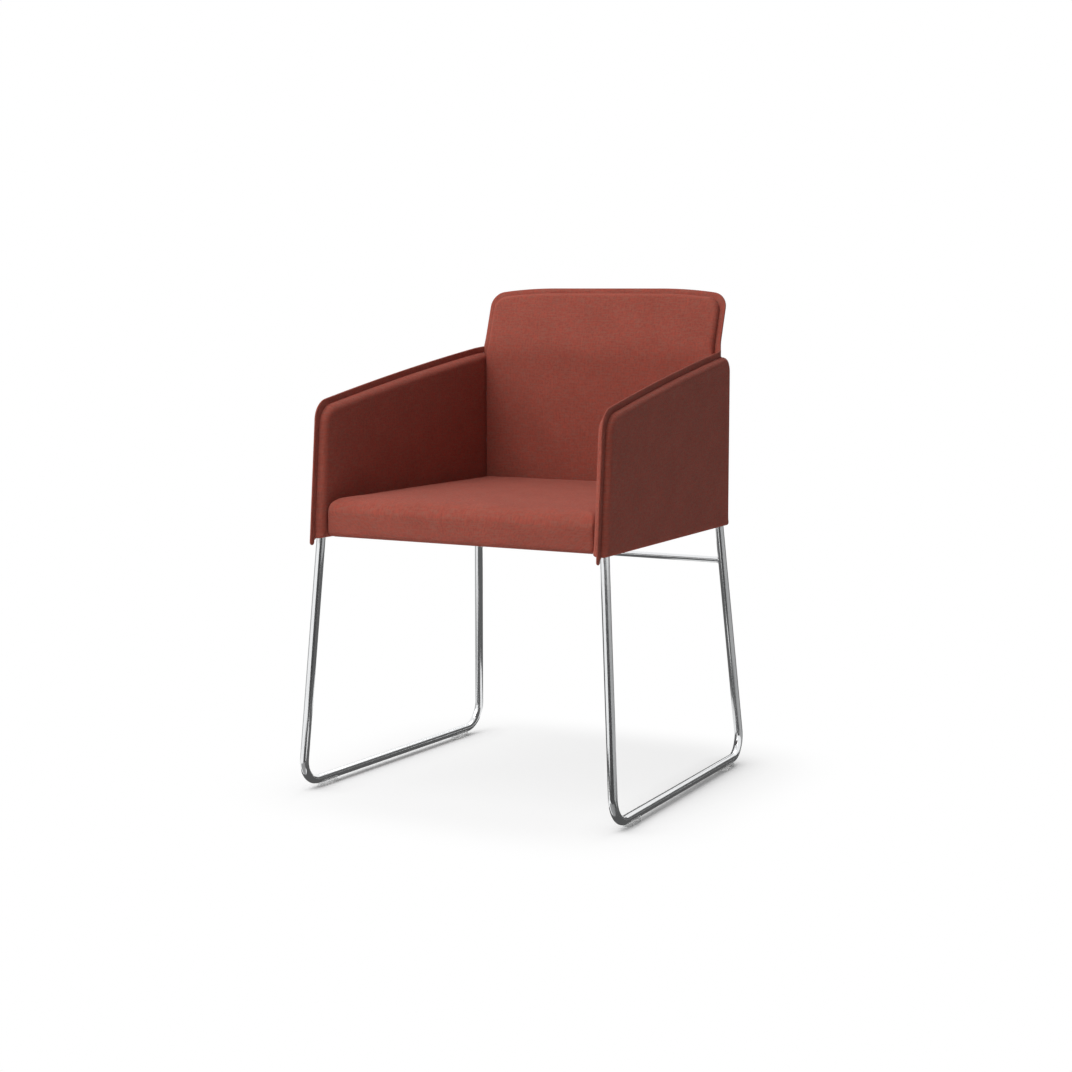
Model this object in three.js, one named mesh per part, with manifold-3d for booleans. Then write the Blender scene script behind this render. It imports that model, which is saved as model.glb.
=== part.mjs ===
// Sled base visitor chair: two bent rod side frames, padded arms that hold a seat and a padded back.
// Lengths are in millimetres. +Z is up, the front faces -Y, and the sitter's left is +X.
import * as THREE from "three";
import { mergeVertices } from "three/addons/utils/BufferGeometryUtils.js";
import Module from "manifold-3d";

const wasm = await Module();
wasm.setup();

// Fits
const FIT_GAP = 0.3;
const OVERRUN = 4;
const WELD = 1e-4;

// Bent rod side frames
const ROD_DIAMETER = 14;
const ROD_BEND_RADIUS = 38;
const ROD_SIDES = 20;
const ROD_BEND_STEPS = 8;
const ROD_JOG_STEPS = 2;
const GLIDE_LIFT = 6;
const LEG_INSET = 10.3;
const LEG_FRONT_RAKE = 21;
const LEG_REAR_RAKE = 43;
const LEG_FRONT_SPLAY = 26.46;
const LEG_REAR_SPLAY = 24.96;
const ROD_RISE = 80;

// Crossbar between the rear legs
const CROSSBAR_DIAMETER = 10;
const CROSSBAR_DROP = 60;
const CROSSBAR_SIDES = 16;

// Clear glides under the runners
const GLIDE_LENGTH = 36;
const GLIDE_WIDTH = 13.4;
const GLIDE_HEIGHT = 11;
const GLIDE_CHAMFER = 1.6;
const GLIDE_INSET = 66;
const PEG_DIAMETER = 5;
const PEG_DEPTH = 6;
const PEG_SIDES = 12;

// Arms: upright panels that close in towards the back
const ARM_SPREAD = 235.8;
const ARM_TOE = Math.atan(0.04);
const ARM_UNDERSIDE = 402.5;
const ARM_UNDERSIDE_FALL = 4;
const ARM_CORNER_REACH = 251.3;
const ARM_CORNER_RISE = 210;
const ARM_CORNER_RADIUS = 34;
const ARM_CORNER_STEPS = 8;
const ARM_FRONT_LEAN = Math.atan(0.0865);
const ARM_TOP_OVERHANG = 10.7;
const ARM_TOP_RISE = 285.5;
const ARM_TOP_ARCH = 4;
const ARM_TOP_STEPS = 7;

// Sheet steel panels inside the arms and the back
const PLATE_THICKNESS = 3;
const PLATE_RECESS = 2;
const ARM_PLATE_OVERHANG = 3.4;

// Sewn fins that stand out between the two pads of each panel
const FIN_THICKNESS = 3;
const FIN_SHOW = 10;
const FIN_TUCK = 4;
const FIN_TIP_DROP = 9.5;
const FIN_TIP_STEPS = 5;
const FIN_SWEEP = 5;
const FIN_SWEEP_RUN = 28;
const FIN_SWEEP_STEPS = 4;

// Arm pads
const INNER_PAD_THICKNESS = 12;
const OUTER_PAD_THICKNESS = 9;
const OUTER_PAD_OVERHANG = 12.7;
const OUTER_WRAP_THICKNESS = 13.8;
const OUTER_REAR_TURN = 12;
const OUTER_REAR_RADIUS = 27;
const PAD_FOOT_RADIUS = 5;
const PAD_FOOT_TURN = 4;
const PAD_BUTT_TURN = 3;
const ARM_PAD_CROWN = 0.5;

// Back: upright to the arm tops, then leaning back
const BACK_FIN_REACH = 229.3;
const BACK_LIFT = 2.5;
const BACK_BEND_DROP = 4;
const BACK_BEND_RADIUS = 100;
const BACK_BEND_STEPS = 5;
const BACK_LEAN = Math.atan(0.334);
const BACK_HEAD_LENGTH = 107.2;
const BACK_SIDE_INSET = 6.13;
const BACK_CORNER_RADIUS = 27;
const BACK_CORNER_STEPS = 7;
const BACK_TOP_FLAT = 100;
const BACK_TOP_DROP = 10;
const BACK_TOP_STEPS = 4;
const BACK_WELT_DROP = 44;
const BACK_FIN_SHOW = 9.5;
const BACK_PAD_BLEND_DROP = 11;
const BACK_PAD_BLEND_RUN = 17;
const BACK_FRONT_THICKNESS = 8;
const BACK_REAR_THICKNESS = 12;
const BACK_PAD_CROWN = 1;

// Angles that join the back panel to the arm panels
const ANGLE_LEG = 25;
const ANGLE_THICKNESS = 3;
const ANGLE_RISE = 97.5;
const ANGLE_HEAD_ROOM = 10;
const ANGLE_BOLT_INSET = 25;
const ANGLE_BOLT_EDGE = 10;

// Seat rails and seat board
const RAIL_WIDTH = 40;
const RAIL_THICKNESS = 12;
const RAIL_INSET = 6.5;
const FRONT_RAIL_ROOM = 41;
const REAR_RAIL_ROOM = 34;
const BOARD_THICKNESS = 12;
const BOARD_FRONT_ROOM = 21;
const BOARD_REAR_ROOM = 13.5;
const BOARD_SIDE_ROOM = 14;
const COVER_THICKNESS = 1.2;

// Seat cushion
const SEAT_LIFT = 2.5;
const SEAT_THICKNESS = 59;
const SEAT_CROWN = 4;
const SEAT_FRONT_INSET = 4.3;
const SEAT_SIDE_ROOM = 0.4;
const SEAT_CORNER_RADIUS = 6;
const SEAT_FRONT_TURN = 24;
const SEAT_SIDE_TURN = 9;
const SEAT_ROUND = 20;

// Fasteners
const BOLT_DIAMETER = 8;
const BOLT_HEAD_DIAMETER = 14;
const BOLT_HEAD_HEIGHT = 4;
const BOLT_SOCKET_ACROSS = 6;
const BOLT_SOCKET_DEPTH = 2.4;
const RAIL_BOLT_LENGTH = 28;
const ANGLE_BOLT_LENGTH = 9;
const SCREW_DIAMETER = 6;
const SCREW_HEAD_DIAMETER = 14;
const SCREW_HEAD_HEIGHT = 3.5;
const SCREW_LENGTH = 24;
const SCREW_SPREAD = 130;
const TEE_FLANGE_DIAMETER = 20;
const TEE_FLANGE_THICKNESS = 1.5;
const TEE_BARREL_DIAMETER = 9;
const TEE_BARREL_LENGTH = 10;
const FASTENER_SIDES = 16;
const HEX_SIDES = 6;

// How finely the soft pieces are drawn
const TURN_STEPS = 5;
const FIELD_STEP = 60;
const FOOT_RUN = 8;
const FOOT_STEPS = 3;
const SPAN_SEARCH_STEPS = 40;
const SOLVE_STEPS = 8;
const NEARNESS_FLOOR = 1;

// Finishes
const FABRIC = { color: 0x8a4438, roughness: 0.95, metalness: 0 };
const CHROME = { color: 0xd6d8da, roughness: 0.12, metalness: 1 };
const PANEL_STEEL = { color: 0x54575a, roughness: 0.6, metalness: 0.8 };
const ZINC = { color: 0xaeb2b5, roughness: 0.4, metalness: 1 };
const CLEAR_PLASTIC = { color: 0xe4e8ea, roughness: 0.25, metalness: 0 };
const PLYWOOD = { color: 0xc8a878, roughness: 0.8, metalness: 0 };
const BLACK_CLOTH = { color: 0x1c1c1e, roughness: 0.95, metalness: 0 };

const SIDES = [
  { side: "left", mirror: false },
  { side: "right", mirror: true },
];
const HALF_PLATE = PLATE_THICKNESS / 2;
const HALF_FIN = FIN_THICKNESS / 2;
const PAD_FACE = HALF_PLATE + FIT_GAP;

// Places of the arm panels, which stand on their underside and reach past the back panel
const ARM_CORNER_HEIGHT = ARM_UNDERSIDE + ARM_CORNER_RISE;
const ARM_TOP_HEIGHT = ARM_UNDERSIDE + ARM_TOP_RISE;
const ARM_TOP_REACH = BACK_FIN_REACH + ARM_TOP_OVERHANG;
const ARM_PLATE_REACH = BACK_FIN_REACH + ARM_PLATE_OVERHANG;
const OUTER_PAD_REACH = BACK_FIN_REACH + OUTER_PAD_OVERHANG;
const INNER_PAD_REACH = BACK_FIN_REACH - PAD_FACE - 2 * FIT_GAP;
const FIN_REACH = BACK_FIN_REACH - HALF_FIN - 2 * FIT_GAP;

// Places of the back, which stands between the arm panels
const BACK_FOOT = ARM_UNDERSIDE + BACK_LIFT;
const BACK_BEND_HEIGHT = ARM_TOP_HEIGHT - BACK_BEND_DROP;
const BACK_BEND_RISE = BACK_BEND_HEIGHT - BACK_FOOT;
const BACK_RISE = BACK_BEND_RISE + BACK_HEAD_LENGTH;
const BACK_WELT_RISE = BACK_BEND_RISE - BACK_WELT_DROP;
const BACK_PAD_BLEND_RISE = BACK_BEND_RISE - BACK_PAD_BLEND_DROP;
const BACK_HALF_WIDTH = armFaceAt(0, BACK_FIN_REACH) - BACK_SIDE_INSET;
const BACK_PLATE_HALF_WIDTH = armFaceAt(-PAD_FACE, BACK_FIN_REACH + HALF_PLATE);
const BACK_PAD_HALF_WIDTH = BACK_HALF_WIDTH - BACK_FIN_SHOW;
const BACK_PAD_SEATED_HALF_WIDTH = armFaceAt(-PAD_FACE - INNER_PAD_THICKNESS, BACK_FIN_REACH) - FIT_GAP;

// Places of the side frames, whose legs stand inside the arm panels' ends
const ROD_RADIUS = ROD_DIAMETER / 2;
const RUNNER_HEIGHT = GLIDE_LIFT + ROD_RADIUS;
const LEG_FRONT_REACH = ARM_CORNER_REACH - LEG_INSET;
const LEG_REAR_REACH = BACK_FIN_REACH - LEG_INSET;
const RUNNER_FRONT_REACH = LEG_FRONT_REACH + LEG_FRONT_RAKE;
const RUNNER_REAR_REACH = LEG_REAR_REACH + LEG_REAR_RAKE;
const RUNNER_LENGTH = RUNNER_FRONT_REACH + RUNNER_REAR_REACH;
const RUNNER_FRONT_SPREAD = armFaceAt(0, -LEG_FRONT_REACH) + LEG_FRONT_SPLAY;
const RUNNER_REAR_SPREAD = armFaceAt(0, LEG_REAR_REACH) + LEG_REAR_SPLAY;
const FRONT_GLIDE_REACH = RUNNER_FRONT_REACH - GLIDE_INSET;
const REAR_GLIDE_REACH = RUNNER_REAR_REACH - GLIDE_INSET;
const CROSSBAR_HEIGHT = ARM_UNDERSIDE - CROSSBAR_DROP;

// Places of the seat, which fills the room between the arms and the back
const SEAT_FOOT = ARM_UNDERSIDE + SEAT_LIFT;
const SEAT_FRONT_REACH = ARM_CORNER_REACH - SEAT_FRONT_INSET;
const SEAT_REAR_REACH = BACK_FIN_REACH - PAD_FACE - BACK_FRONT_THICKNESS - BACK_PAD_CROWN;
const BOARD_FRONT_REACH = SEAT_FRONT_REACH - BOARD_FRONT_ROOM;
const BOARD_REAR_REACH = SEAT_REAR_REACH - BOARD_REAR_ROOM;
const RAIL_FOOT = SEAT_FOOT + RAIL_INSET;
const FRONT_RAIL_REACH = LEG_FRONT_REACH - FRONT_RAIL_ROOM;
const REAR_RAIL_REACH = LEG_REAR_REACH - REAR_RAIL_ROOM;

// Places of the angles in the corners between the arms and the back
const ANGLE_FOOT = ARM_UNDERSIDE + ANGLE_RISE;
const ANGLE_REAR = BACK_FIN_REACH - PAD_FACE;
const ANGLE_LENGTH = BACK_FOOT + BACK_WELT_RISE - ANGLE_HEAD_ROOM - ANGLE_FOOT;

/** A geometry as a solid that can be joined and cut. */
function solidOf(geometry) {
  const bare = geometry.index ? geometry.toNonIndexed() : geometry.clone();
  bare.deleteAttribute("normal");
  bare.deleteAttribute("uv");
  const merged = mergeVertices(bare, WELD);
  const corners = merged.index.array;
  const kept = [];
  for (let i = 0; i < corners.length; i += 3) {
    const [a, b, c] = [corners[i], corners[i + 1], corners[i + 2]];
    if (a !== b && b !== c && c !== a) kept.push(a, b, c);
  }
  return new wasm.Manifold(
    new wasm.Mesh({
      numProp: 3,
      vertProperties: merged.attributes.position.array,
      triVerts: new Uint32Array(kept),
    }),
  );
}

/** A solid as a geometry with flat-shaded faces. */
function geometryOf(solid) {
  const mesh = solid.getMesh();
  const points = new Float32Array(mesh.numVert * 3);
  for (let i = 0; i < mesh.numVert; i++)
    points.set(mesh.vertProperties.subarray(i * mesh.numProp, i * mesh.numProp + 3), i * 3);
  const geometry = new THREE.BufferGeometry()
    .setAttribute("position", new THREE.BufferAttribute(points, 3))
    .setIndex(new THREE.BufferAttribute(new Uint32Array(mesh.triVerts), 1))
    .toNonIndexed();
  geometry.computeVertexNormals();
  return geometry;
}

/** A geometry cut by others. */
function cut(geometry, cutters) {
  let solid = solidOf(geometry);
  for (const cutter of cutters) solid = solid.subtract(solidOf(cutter));
  return geometryOf(solid);
}

/** Several geometries joined into one body. */
function joined(geometries) {
  return geometryOf(geometries.map(solidOf).reduce((whole, next) => whole.add(next)));
}

/** The same geometry on the other side of the chair. */
function mirrored(geometry) {
  const flipped = geometry.index ? geometry.toNonIndexed() : geometry.clone();
  const points = flipped.getAttribute("position");
  for (let i = 0; i < points.count; i += 3) {
    const [a, b, c] = [i, i + 1, i + 2].map((n) => new THREE.Vector3().fromBufferAttribute(points, n));
    [a, c, b].forEach((p, n) => points.setXYZ(i + n, -p.x, p.y, p.z));
  }
  flipped.computeVertexNormals();
  return flipped;
}

/** Closed sections of equal count joined end to end, with flat ends. */
function loft(sections) {
  const points = [];
  const face = (...corners) => corners.forEach((p) => points.push(p.x, p.y, p.z));
  sections.slice(1).forEach((next, i) => {
    const last = sections[i];
    last.forEach((p, n) => {
      const m = (n + 1) % last.length;
      face(p, last[m], next[m]);
      face(p, next[m], next[n]);
    });
  });
  const cap = (loop) => loop.slice(2).forEach((p, n) => face(loop[0], loop[n + 1], p));
  cap([...sections[0]].reverse());
  cap(sections[sections.length - 1]);
  return new THREE.BufferGeometry().setAttribute("position", new THREE.Float32BufferAttribute(points, 3));
}

/** An upright prism over an outline in plan. */
function prism(outline, foot, height) {
  return new THREE.ExtrudeGeometry(new THREE.Shape(outline), {
    depth: height,
    bevelEnabled: false,
  }).translate(0, 0, foot);
}

/** A cylinder whose foot stands at the origin and that rises along +Z. */
function post(diameter, height, sides) {
  return new THREE.CylinderGeometry(diameter / 2, diameter / 2, height, sides)
    .rotateX(Math.PI / 2)
    .translate(0, 0, height / 2);
}

/** Rounds one corner of a path and returns the points of its arc with their directions. */
function arcAt(before, corner, after, radius, steps) {
  const come = corner.clone().sub(before).normalize();
  const go = after.clone().sub(corner).normalize();
  const turn = Math.acos(come.dot(go));
  const side = go.clone().addScaledVector(come, -come.dot(go)).normalize();
  const start = corner.clone().addScaledVector(come, -radius * Math.tan(turn / 2));
  return Array.from({ length: steps + 1 }, (_, i) => {
    const angle = (turn * i) / steps;
    return {
      point: start
        .clone()
        .addScaledVector(come, radius * Math.sin(angle))
        .addScaledVector(side, radius * (1 - Math.cos(angle))),
      heading: come.clone().multiplyScalar(Math.cos(angle)).addScaledVector(side, Math.sin(angle)),
    };
  });
}

/** A curve that passes through stations and has a section at each of them only. */
class StationCurve extends THREE.Curve {
  constructor(stations) {
    super();
    this.stations = stations;
  }

  nearest(share) {
    return this.stations[Math.round(share * (this.stations.length - 1))];
  }

  getPointAt(share) {
    return this.nearest(share).point.clone();
  }

  getTangentAt(share) {
    return this.nearest(share).heading.clone();
  }
}

/** A round rod bent at each inner point of a path. */
function bentRod(points, steps, diameter, sides) {
  const first = points[0];
  const last = points[points.length - 1];
  const stations = [{ point: first, heading: points[1].clone().sub(first).normalize() }];
  points.slice(1, -1).forEach((corner, i) => {
    stations.push(...arcAt(points[i], corner, points[i + 2], ROD_BEND_RADIUS, steps[i]));
  });
  stations.push({ point: last, heading: last.clone().sub(points[points.length - 2]).normalize() });
  const circle = Array.from({ length: sides }, (_, i) => {
    const angle = (Math.PI * 2 * i) / sides;
    return new THREE.Vector2(Math.cos(angle), Math.sin(angle)).multiplyScalar(diameter / 2);
  });
  return new THREE.ExtrudeGeometry(new THREE.Shape(circle), {
    steps: stations.length - 1,
    extrudePath: new StationCurve(stations),
  });
}

/** Moves a geometry from the arm's own frame, upright on the YZ plane, to the left arm's place. */
function placeOnArm(geometry) {
  return geometry.rotateZ(ARM_TOE).translate(ARM_SPREAD, 0, 0);
}

/** How far the arm's face at an offset stands from the middle of the chair, at a place along it. */
function armFaceAt(offset, along) {
  return ARM_SPREAD + offset / Math.cos(ARM_TOE) - along * Math.tan(ARM_TOE);
}

/** The outline of the arm's fin: along at its front edge, and height of its top edge. */
function armFrontAt(height) {
  return -ARM_CORNER_REACH + (height - ARM_CORNER_HEIGHT) * Math.tan(ARM_FRONT_LEAN);
}

function armTopAt(along) {
  const share = (along + ARM_CORNER_REACH) / (ARM_TOP_REACH + ARM_CORNER_REACH);
  const arch = ARM_TOP_ARCH * 4 * share * (1 - share);
  return THREE.MathUtils.lerp(ARM_CORNER_HEIGHT, ARM_TOP_HEIGHT, share) + arch;
}

/** A polyline moved to its right by an inset. */
function insetLine(points, inset) {
  const headings = points.slice(1).map((p, i) => p.clone().sub(points[i]).normalize());
  return points.map((p, i) => {
    const before = headings[Math.max(i - 1, 0)];
    const after = headings[Math.min(i, headings.length - 1)];
    const mean = before.clone().add(after).normalize();
    return new THREE.Vector2(mean.y, -mean.x).multiplyScalar(inset / mean.dot(after)).add(p);
  });
}

/** The arm fin's edge from its foot to a reach at the rear, in along and up, moved inwards by an inset. */
function armEdge(inset, reach) {
  const foot = new THREE.Vector2(armFrontAt(ARM_UNDERSIDE), ARM_UNDERSIDE);
  const corner = new THREE.Vector2(-ARM_CORNER_REACH, ARM_CORNER_HEIGHT);
  const span = reach - FIN_SWEEP_RUN + ARM_CORNER_REACH;
  const places = [
    ...Array.from({ length: ARM_TOP_STEPS }, (_, i) => (span * (i + 1)) / ARM_TOP_STEPS),
    ...Array.from({ length: FIN_SWEEP_STEPS }, (_, i) => span + (FIN_SWEEP_RUN * (i + 1)) / FIN_SWEEP_STEPS),
  ];
  const top = places.map((place) => {
    const along = place - ARM_CORNER_REACH;
    return new THREE.Vector2(along, armTopAt(along));
  });
  const arc = arcAt(foot, corner, top[0], ARM_CORNER_RADIUS, ARM_CORNER_STEPS).map((s) => s.point);
  const edge = insetLine([foot, ...arc, ...top], inset);
  edge[0].set(edge[0].x + (ARM_UNDERSIDE - edge[0].y) * Math.tan(ARM_FRONT_LEAN), ARM_UNDERSIDE);
  const [before, last] = edge.slice(-2);
  const rise = (last.y - before.y) / (last.x - before.x);
  last.set(reach, before.y + (reach - before.x) * rise);
  return edge;
}

/** Shares of a length, close together over a run at each end and even between. */
function gradedShares(length, nearRun, nearSteps, farRun, farSteps) {
  const arc = (steps) => Array.from({ length: steps }, (_, i) => 1 - Math.cos((Math.PI / 2) * (i / steps)));
  const field = length - nearRun - farRun;
  const fieldSteps = Math.max(1, Math.round(field / FIELD_STEP));
  return [
    ...arc(nearSteps).map((a) => (a * nearRun) / length),
    ...Array.from({ length: fieldSteps + 1 }, (_, i) => (nearRun + (field * i) / fieldSteps) / length),
    ...arc(farSteps).map((a) => 1 - (a * farRun) / length).reverse(),
  ];
}

/** A four-sided outline with rounded corners, and the skin of a padded piece that fills it. */
class Panel {
  /**
   * limits: left(v), right(v), low(u), high(u); corners: radii lowLeft, lowRight, highLeft, highRight;
   * turns: how far in from each side the surface turns over; rows and columns: shares of the grid;
   * straightTo: the share of the height up to which the rows stay straight under an arched top.
   */
  constructor({ limits, corners, turns, rows, columns, straightTo = 0 }) {
    Object.assign(this, { limits, corners, turns, rows, columns, straightTo });
  }

  /** The point at a share across and a share up, inside the limits. */
  at(across, up) {
    const { left, right, low, high } = this.limits;
    let u = 0;
    let v = (low(0) + high(0)) / 2;
    const follow = Math.max(up - this.straightTo, 0) / (1 - this.straightTo);
    for (let i = 0; i < SOLVE_STEPS; i++) {
      u = THREE.MathUtils.lerp(left(v), right(v), across);
      const limit = this.straightTo > 0 ? THREE.MathUtils.lerp(high(0), high(u), follow) : high(u);
      v = THREE.MathUtils.lerp(low(u), limit, up);
    }
    return [u, v];
  }

  /** How far a point lies from each side. */
  distances(u, v) {
    const { left, right, low, high } = this.limits;
    return { left: u - left(v), right: right(v) - u, low: v - low(u), high: high(u) - v };
  }

  /** How far a point lies inside the rounded outline. */
  depth(u, v) {
    const far = this.distances(u, v);
    let least = Math.min(far.left, far.right, far.low, far.high);
    const meet = (a, b, radius) => {
      if (a < radius && b < radius) least = Math.min(least, radius - Math.hypot(radius - a, radius - b));
    };
    meet(far.left, far.low, this.corners.lowLeft);
    meet(far.right, far.low, this.corners.lowRight);
    meet(far.left, far.high, this.corners.highLeft);
    meet(far.right, far.high, this.corners.highRight);
    return least;
  }

  /** How far in the surface turns over at a point, mostly that of the nearest side. */
  turnAt(u, v) {
    const far = this.distances(u, v);
    let weights = 0;
    let sum = 0;
    for (const name of Object.keys(far)) {
      const weight = (Math.max(far[name], 0) + NEARNESS_FLOOR) ** -3;
      weights += weight;
      sum += weight * this.turns[name];
    }
    return sum / weights;
  }

  /** The share of its full thickness that the piece has at a point. */
  fullness(u, v) {
    const share = Math.min(Math.max(this.depth(u, v), 0) / this.turnAt(u, v), 1);
    return Math.sqrt(1 - (1 - share) ** 2);
  }

  /** The share of the crown's height at a point: all of it in the middle, none at the sides. */
  crown(u, v) {
    const far = this.distances(u, v);
    const across = far.left / (far.left + far.right);
    const up = far.low / (far.low + far.high);
    return 16 * across * (1 - across) * up * (1 - up);
  }

  /** Where a row starts inside the rounded outline, looking in from one end. */
  spanStart(from, up) {
    let out = from;
    let inside = 0.5;
    if (this.depth(...this.at(out, up)) > -WELD) return out;
    for (let i = 0; i < SPAN_SEARCH_STEPS; i++) {
      const middle = (out + inside) / 2;
      if (this.depth(...this.at(middle, up)) > -WELD) inside = middle;
      else out = middle;
    }
    return inside;
  }

  /** The closed skin: place(u, v, height) gives a point, height(u, v) the upper face. */
  skin(place, height) {
    const grid = this.rows.map((up) => {
      const from = this.spanStart(0, up);
      const to = this.spanStart(1, up);
      return this.columns.map((share) => this.at(THREE.MathUtils.lerp(from, to, share), up));
    });
    const upper = grid.map((row) => row.map(([u, v]) => place(u, v, height(u, v))));
    const base = grid.map((row) => row.map(([u, v]) => place(u, v, 0)));
    const points = [];
    const face = (...corners) => corners.forEach((p) => points.push(p.x, p.y, p.z));
    const last = this.columns.length - 1;
    const top = this.rows.length - 1;
    for (let i = 0; i < top; i++)
      for (let j = 0; j < last; j++) {
        face(upper[i][j], upper[i][j + 1], upper[i + 1][j + 1]);
        face(upper[i][j], upper[i + 1][j + 1], upper[i + 1][j]);
      }
    const wall = (i, j, k, l) => {
      face(base[i][j], base[k][l], upper[k][l]);
      face(base[i][j], upper[k][l], upper[i][j]);
    };
    for (let j = 0; j < last; j++) {
      wall(0, j, 0, j + 1);
      wall(top, j + 1, top, j);
      face(base[0][j + 1], base[0][j], base[1][0]);
      face(base[top][j], base[top][j + 1], base[top - 1][0]);
    }
    face(base[1][last], base[0][last], base[1][0]);
    face(base[top - 1][last], base[top - 1][0], base[top][last]);
    for (let i = 0; i < top; i++) {
      wall(i, last, i + 1, last);
      wall(i + 1, 0, i, 0);
      if (i > 0 && i < top - 1) {
        face(base[i][last], base[i][0], base[i + 1][last]);
        face(base[i][0], base[i + 1][0], base[i + 1][last]);
      }
    }
    return new THREE.BufferGeometry().setAttribute("position", new THREE.Float32BufferAttribute(points, 3));
  }
}

/** The left side frame's rod, grown by a clearance when it is used as a cutter. */
function sideRod(clearance = 0) {
  const legPoint = (along, up) => new THREE.Vector3(armFaceAt(0, along), along, up);
  const frontFoot = new THREE.Vector3(RUNNER_FRONT_SPREAD, -RUNNER_FRONT_REACH, RUNNER_HEIGHT);
  const rearFoot = new THREE.Vector3(RUNNER_REAR_SPREAD, RUNNER_REAR_REACH, RUNNER_HEIGHT);
  const legRise = ARM_UNDERSIDE - RUNNER_HEIGHT;
  const onward = (foot, along) => along + ((along - foot.y) * (ROD_RISE + clearance)) / legRise;
  const top = ARM_UNDERSIDE + ROD_RISE + clearance;
  const path = [
    legPoint(onward(frontFoot, -LEG_FRONT_REACH), top),
    legPoint(-LEG_FRONT_REACH, ARM_UNDERSIDE),
    frontFoot,
    rearFoot,
    legPoint(LEG_REAR_REACH, ARM_UNDERSIDE),
    legPoint(onward(rearFoot, LEG_REAR_REACH), top),
  ];
  const steps = [ROD_JOG_STEPS, ROD_BEND_STEPS, ROD_BEND_STEPS, ROD_JOG_STEPS];
  return bentRod(path, steps, ROD_DIAMETER + 2 * clearance, ROD_SIDES);
}

/** The direction and place of the left runner at a distance from its middle. */
function runnerAt(along) {
  const share = (along + RUNNER_FRONT_REACH) / RUNNER_LENGTH;
  return {
    x: THREE.MathUtils.lerp(RUNNER_FRONT_SPREAD, RUNNER_REAR_SPREAD, share),
    turn: Math.atan((RUNNER_FRONT_SPREAD - RUNNER_REAR_SPREAD) / RUNNER_LENGTH),
  };
}

function peg(along, clearance = 0) {
  const { x } = runnerAt(along);
  const rise = GLIDE_LIFT / 2 + PEG_DEPTH + clearance;
  return post(PEG_DIAMETER + 2 * clearance, rise, PEG_SIDES).translate(x, along, GLIDE_LIFT / 2);
}

function glide(along, rodSpace) {
  const half = GLIDE_WIDTH / 2;
  const outline = [
    [-half + GLIDE_CHAMFER, 0],
    [half - GLIDE_CHAMFER, 0],
    [half, GLIDE_CHAMFER],
    [half, GLIDE_HEIGHT],
    [-half, GLIDE_HEIGHT],
    [-half, GLIDE_CHAMFER],
  ].map(([x, z]) => new THREE.Vector3(x, 0, z));
  const ends = [
    [-GLIDE_LENGTH / 2, GLIDE_CHAMFER],
    [GLIDE_CHAMFER - GLIDE_LENGTH / 2, 0],
    [GLIDE_LENGTH / 2 - GLIDE_CHAMFER, 0],
    [GLIDE_LENGTH / 2, GLIDE_CHAMFER],
  ];
  const sections = ends.map(([y, lift]) =>
    outline.map((p) => new THREE.Vector3(p.x, y, Math.max(p.z, lift))).reverse(),
  );
  const { x, turn } = runnerAt(along);
  const block = loft(sections).rotateZ(turn).translate(x, along, 0);
  return joined([cut(block, [rodSpace]), peg(along)]);
}

function crossbar(rodSpace) {
  const share = (CROSSBAR_HEIGHT - RUNNER_HEIGHT) / (ARM_UNDERSIDE - RUNNER_HEIGHT);
  const along = THREE.MathUtils.lerp(RUNNER_REAR_REACH, LEG_REAR_REACH, share);
  const half = THREE.MathUtils.lerp(RUNNER_REAR_SPREAD, armFaceAt(0, LEG_REAR_REACH), share);
  const bar = post(CROSSBAR_DIAMETER, 2 * half, CROSSBAR_SIDES)
    .rotateY(Math.PI / 2)
    .translate(-half, along, CROSSBAR_HEIGHT);
  return cut(bar, [rodSpace, mirrored(rodSpace)]);
}

/** A bolt that points along -X from its bearing face at the origin, head on the +X side. */
function boltBlank(length, diameter, headDiameter, headHeight, clearance = 0) {
  const headLength = headHeight + clearance + clearance / 2;
  const head = post(headDiameter + 2 * clearance, headLength, FASTENER_SIDES);
  const shank = post(diameter + 2 * clearance, length + headHeight / 2 + clearance, FASTENER_SIDES);
  head.translate(0, 0, -clearance / 2);
  shank.translate(0, 0, -length - clearance);
  return joined([head, shank]).rotateY(Math.PI / 2);
}

function armBolt(length, clearance = 0) {
  return boltBlank(length, BOLT_DIAMETER, BOLT_HEAD_DIAMETER, BOLT_HEAD_HEIGHT, clearance);
}

function hexSocket(headHeight) {
  const width = BOLT_SOCKET_ACROSS / Math.cos(Math.PI / HEX_SIDES);
  return post(width, BOLT_SOCKET_DEPTH + OVERRUN, HEX_SIDES)
    .translate(0, 0, headHeight - BOLT_SOCKET_DEPTH)
    .rotateY(Math.PI / 2);
}

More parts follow.
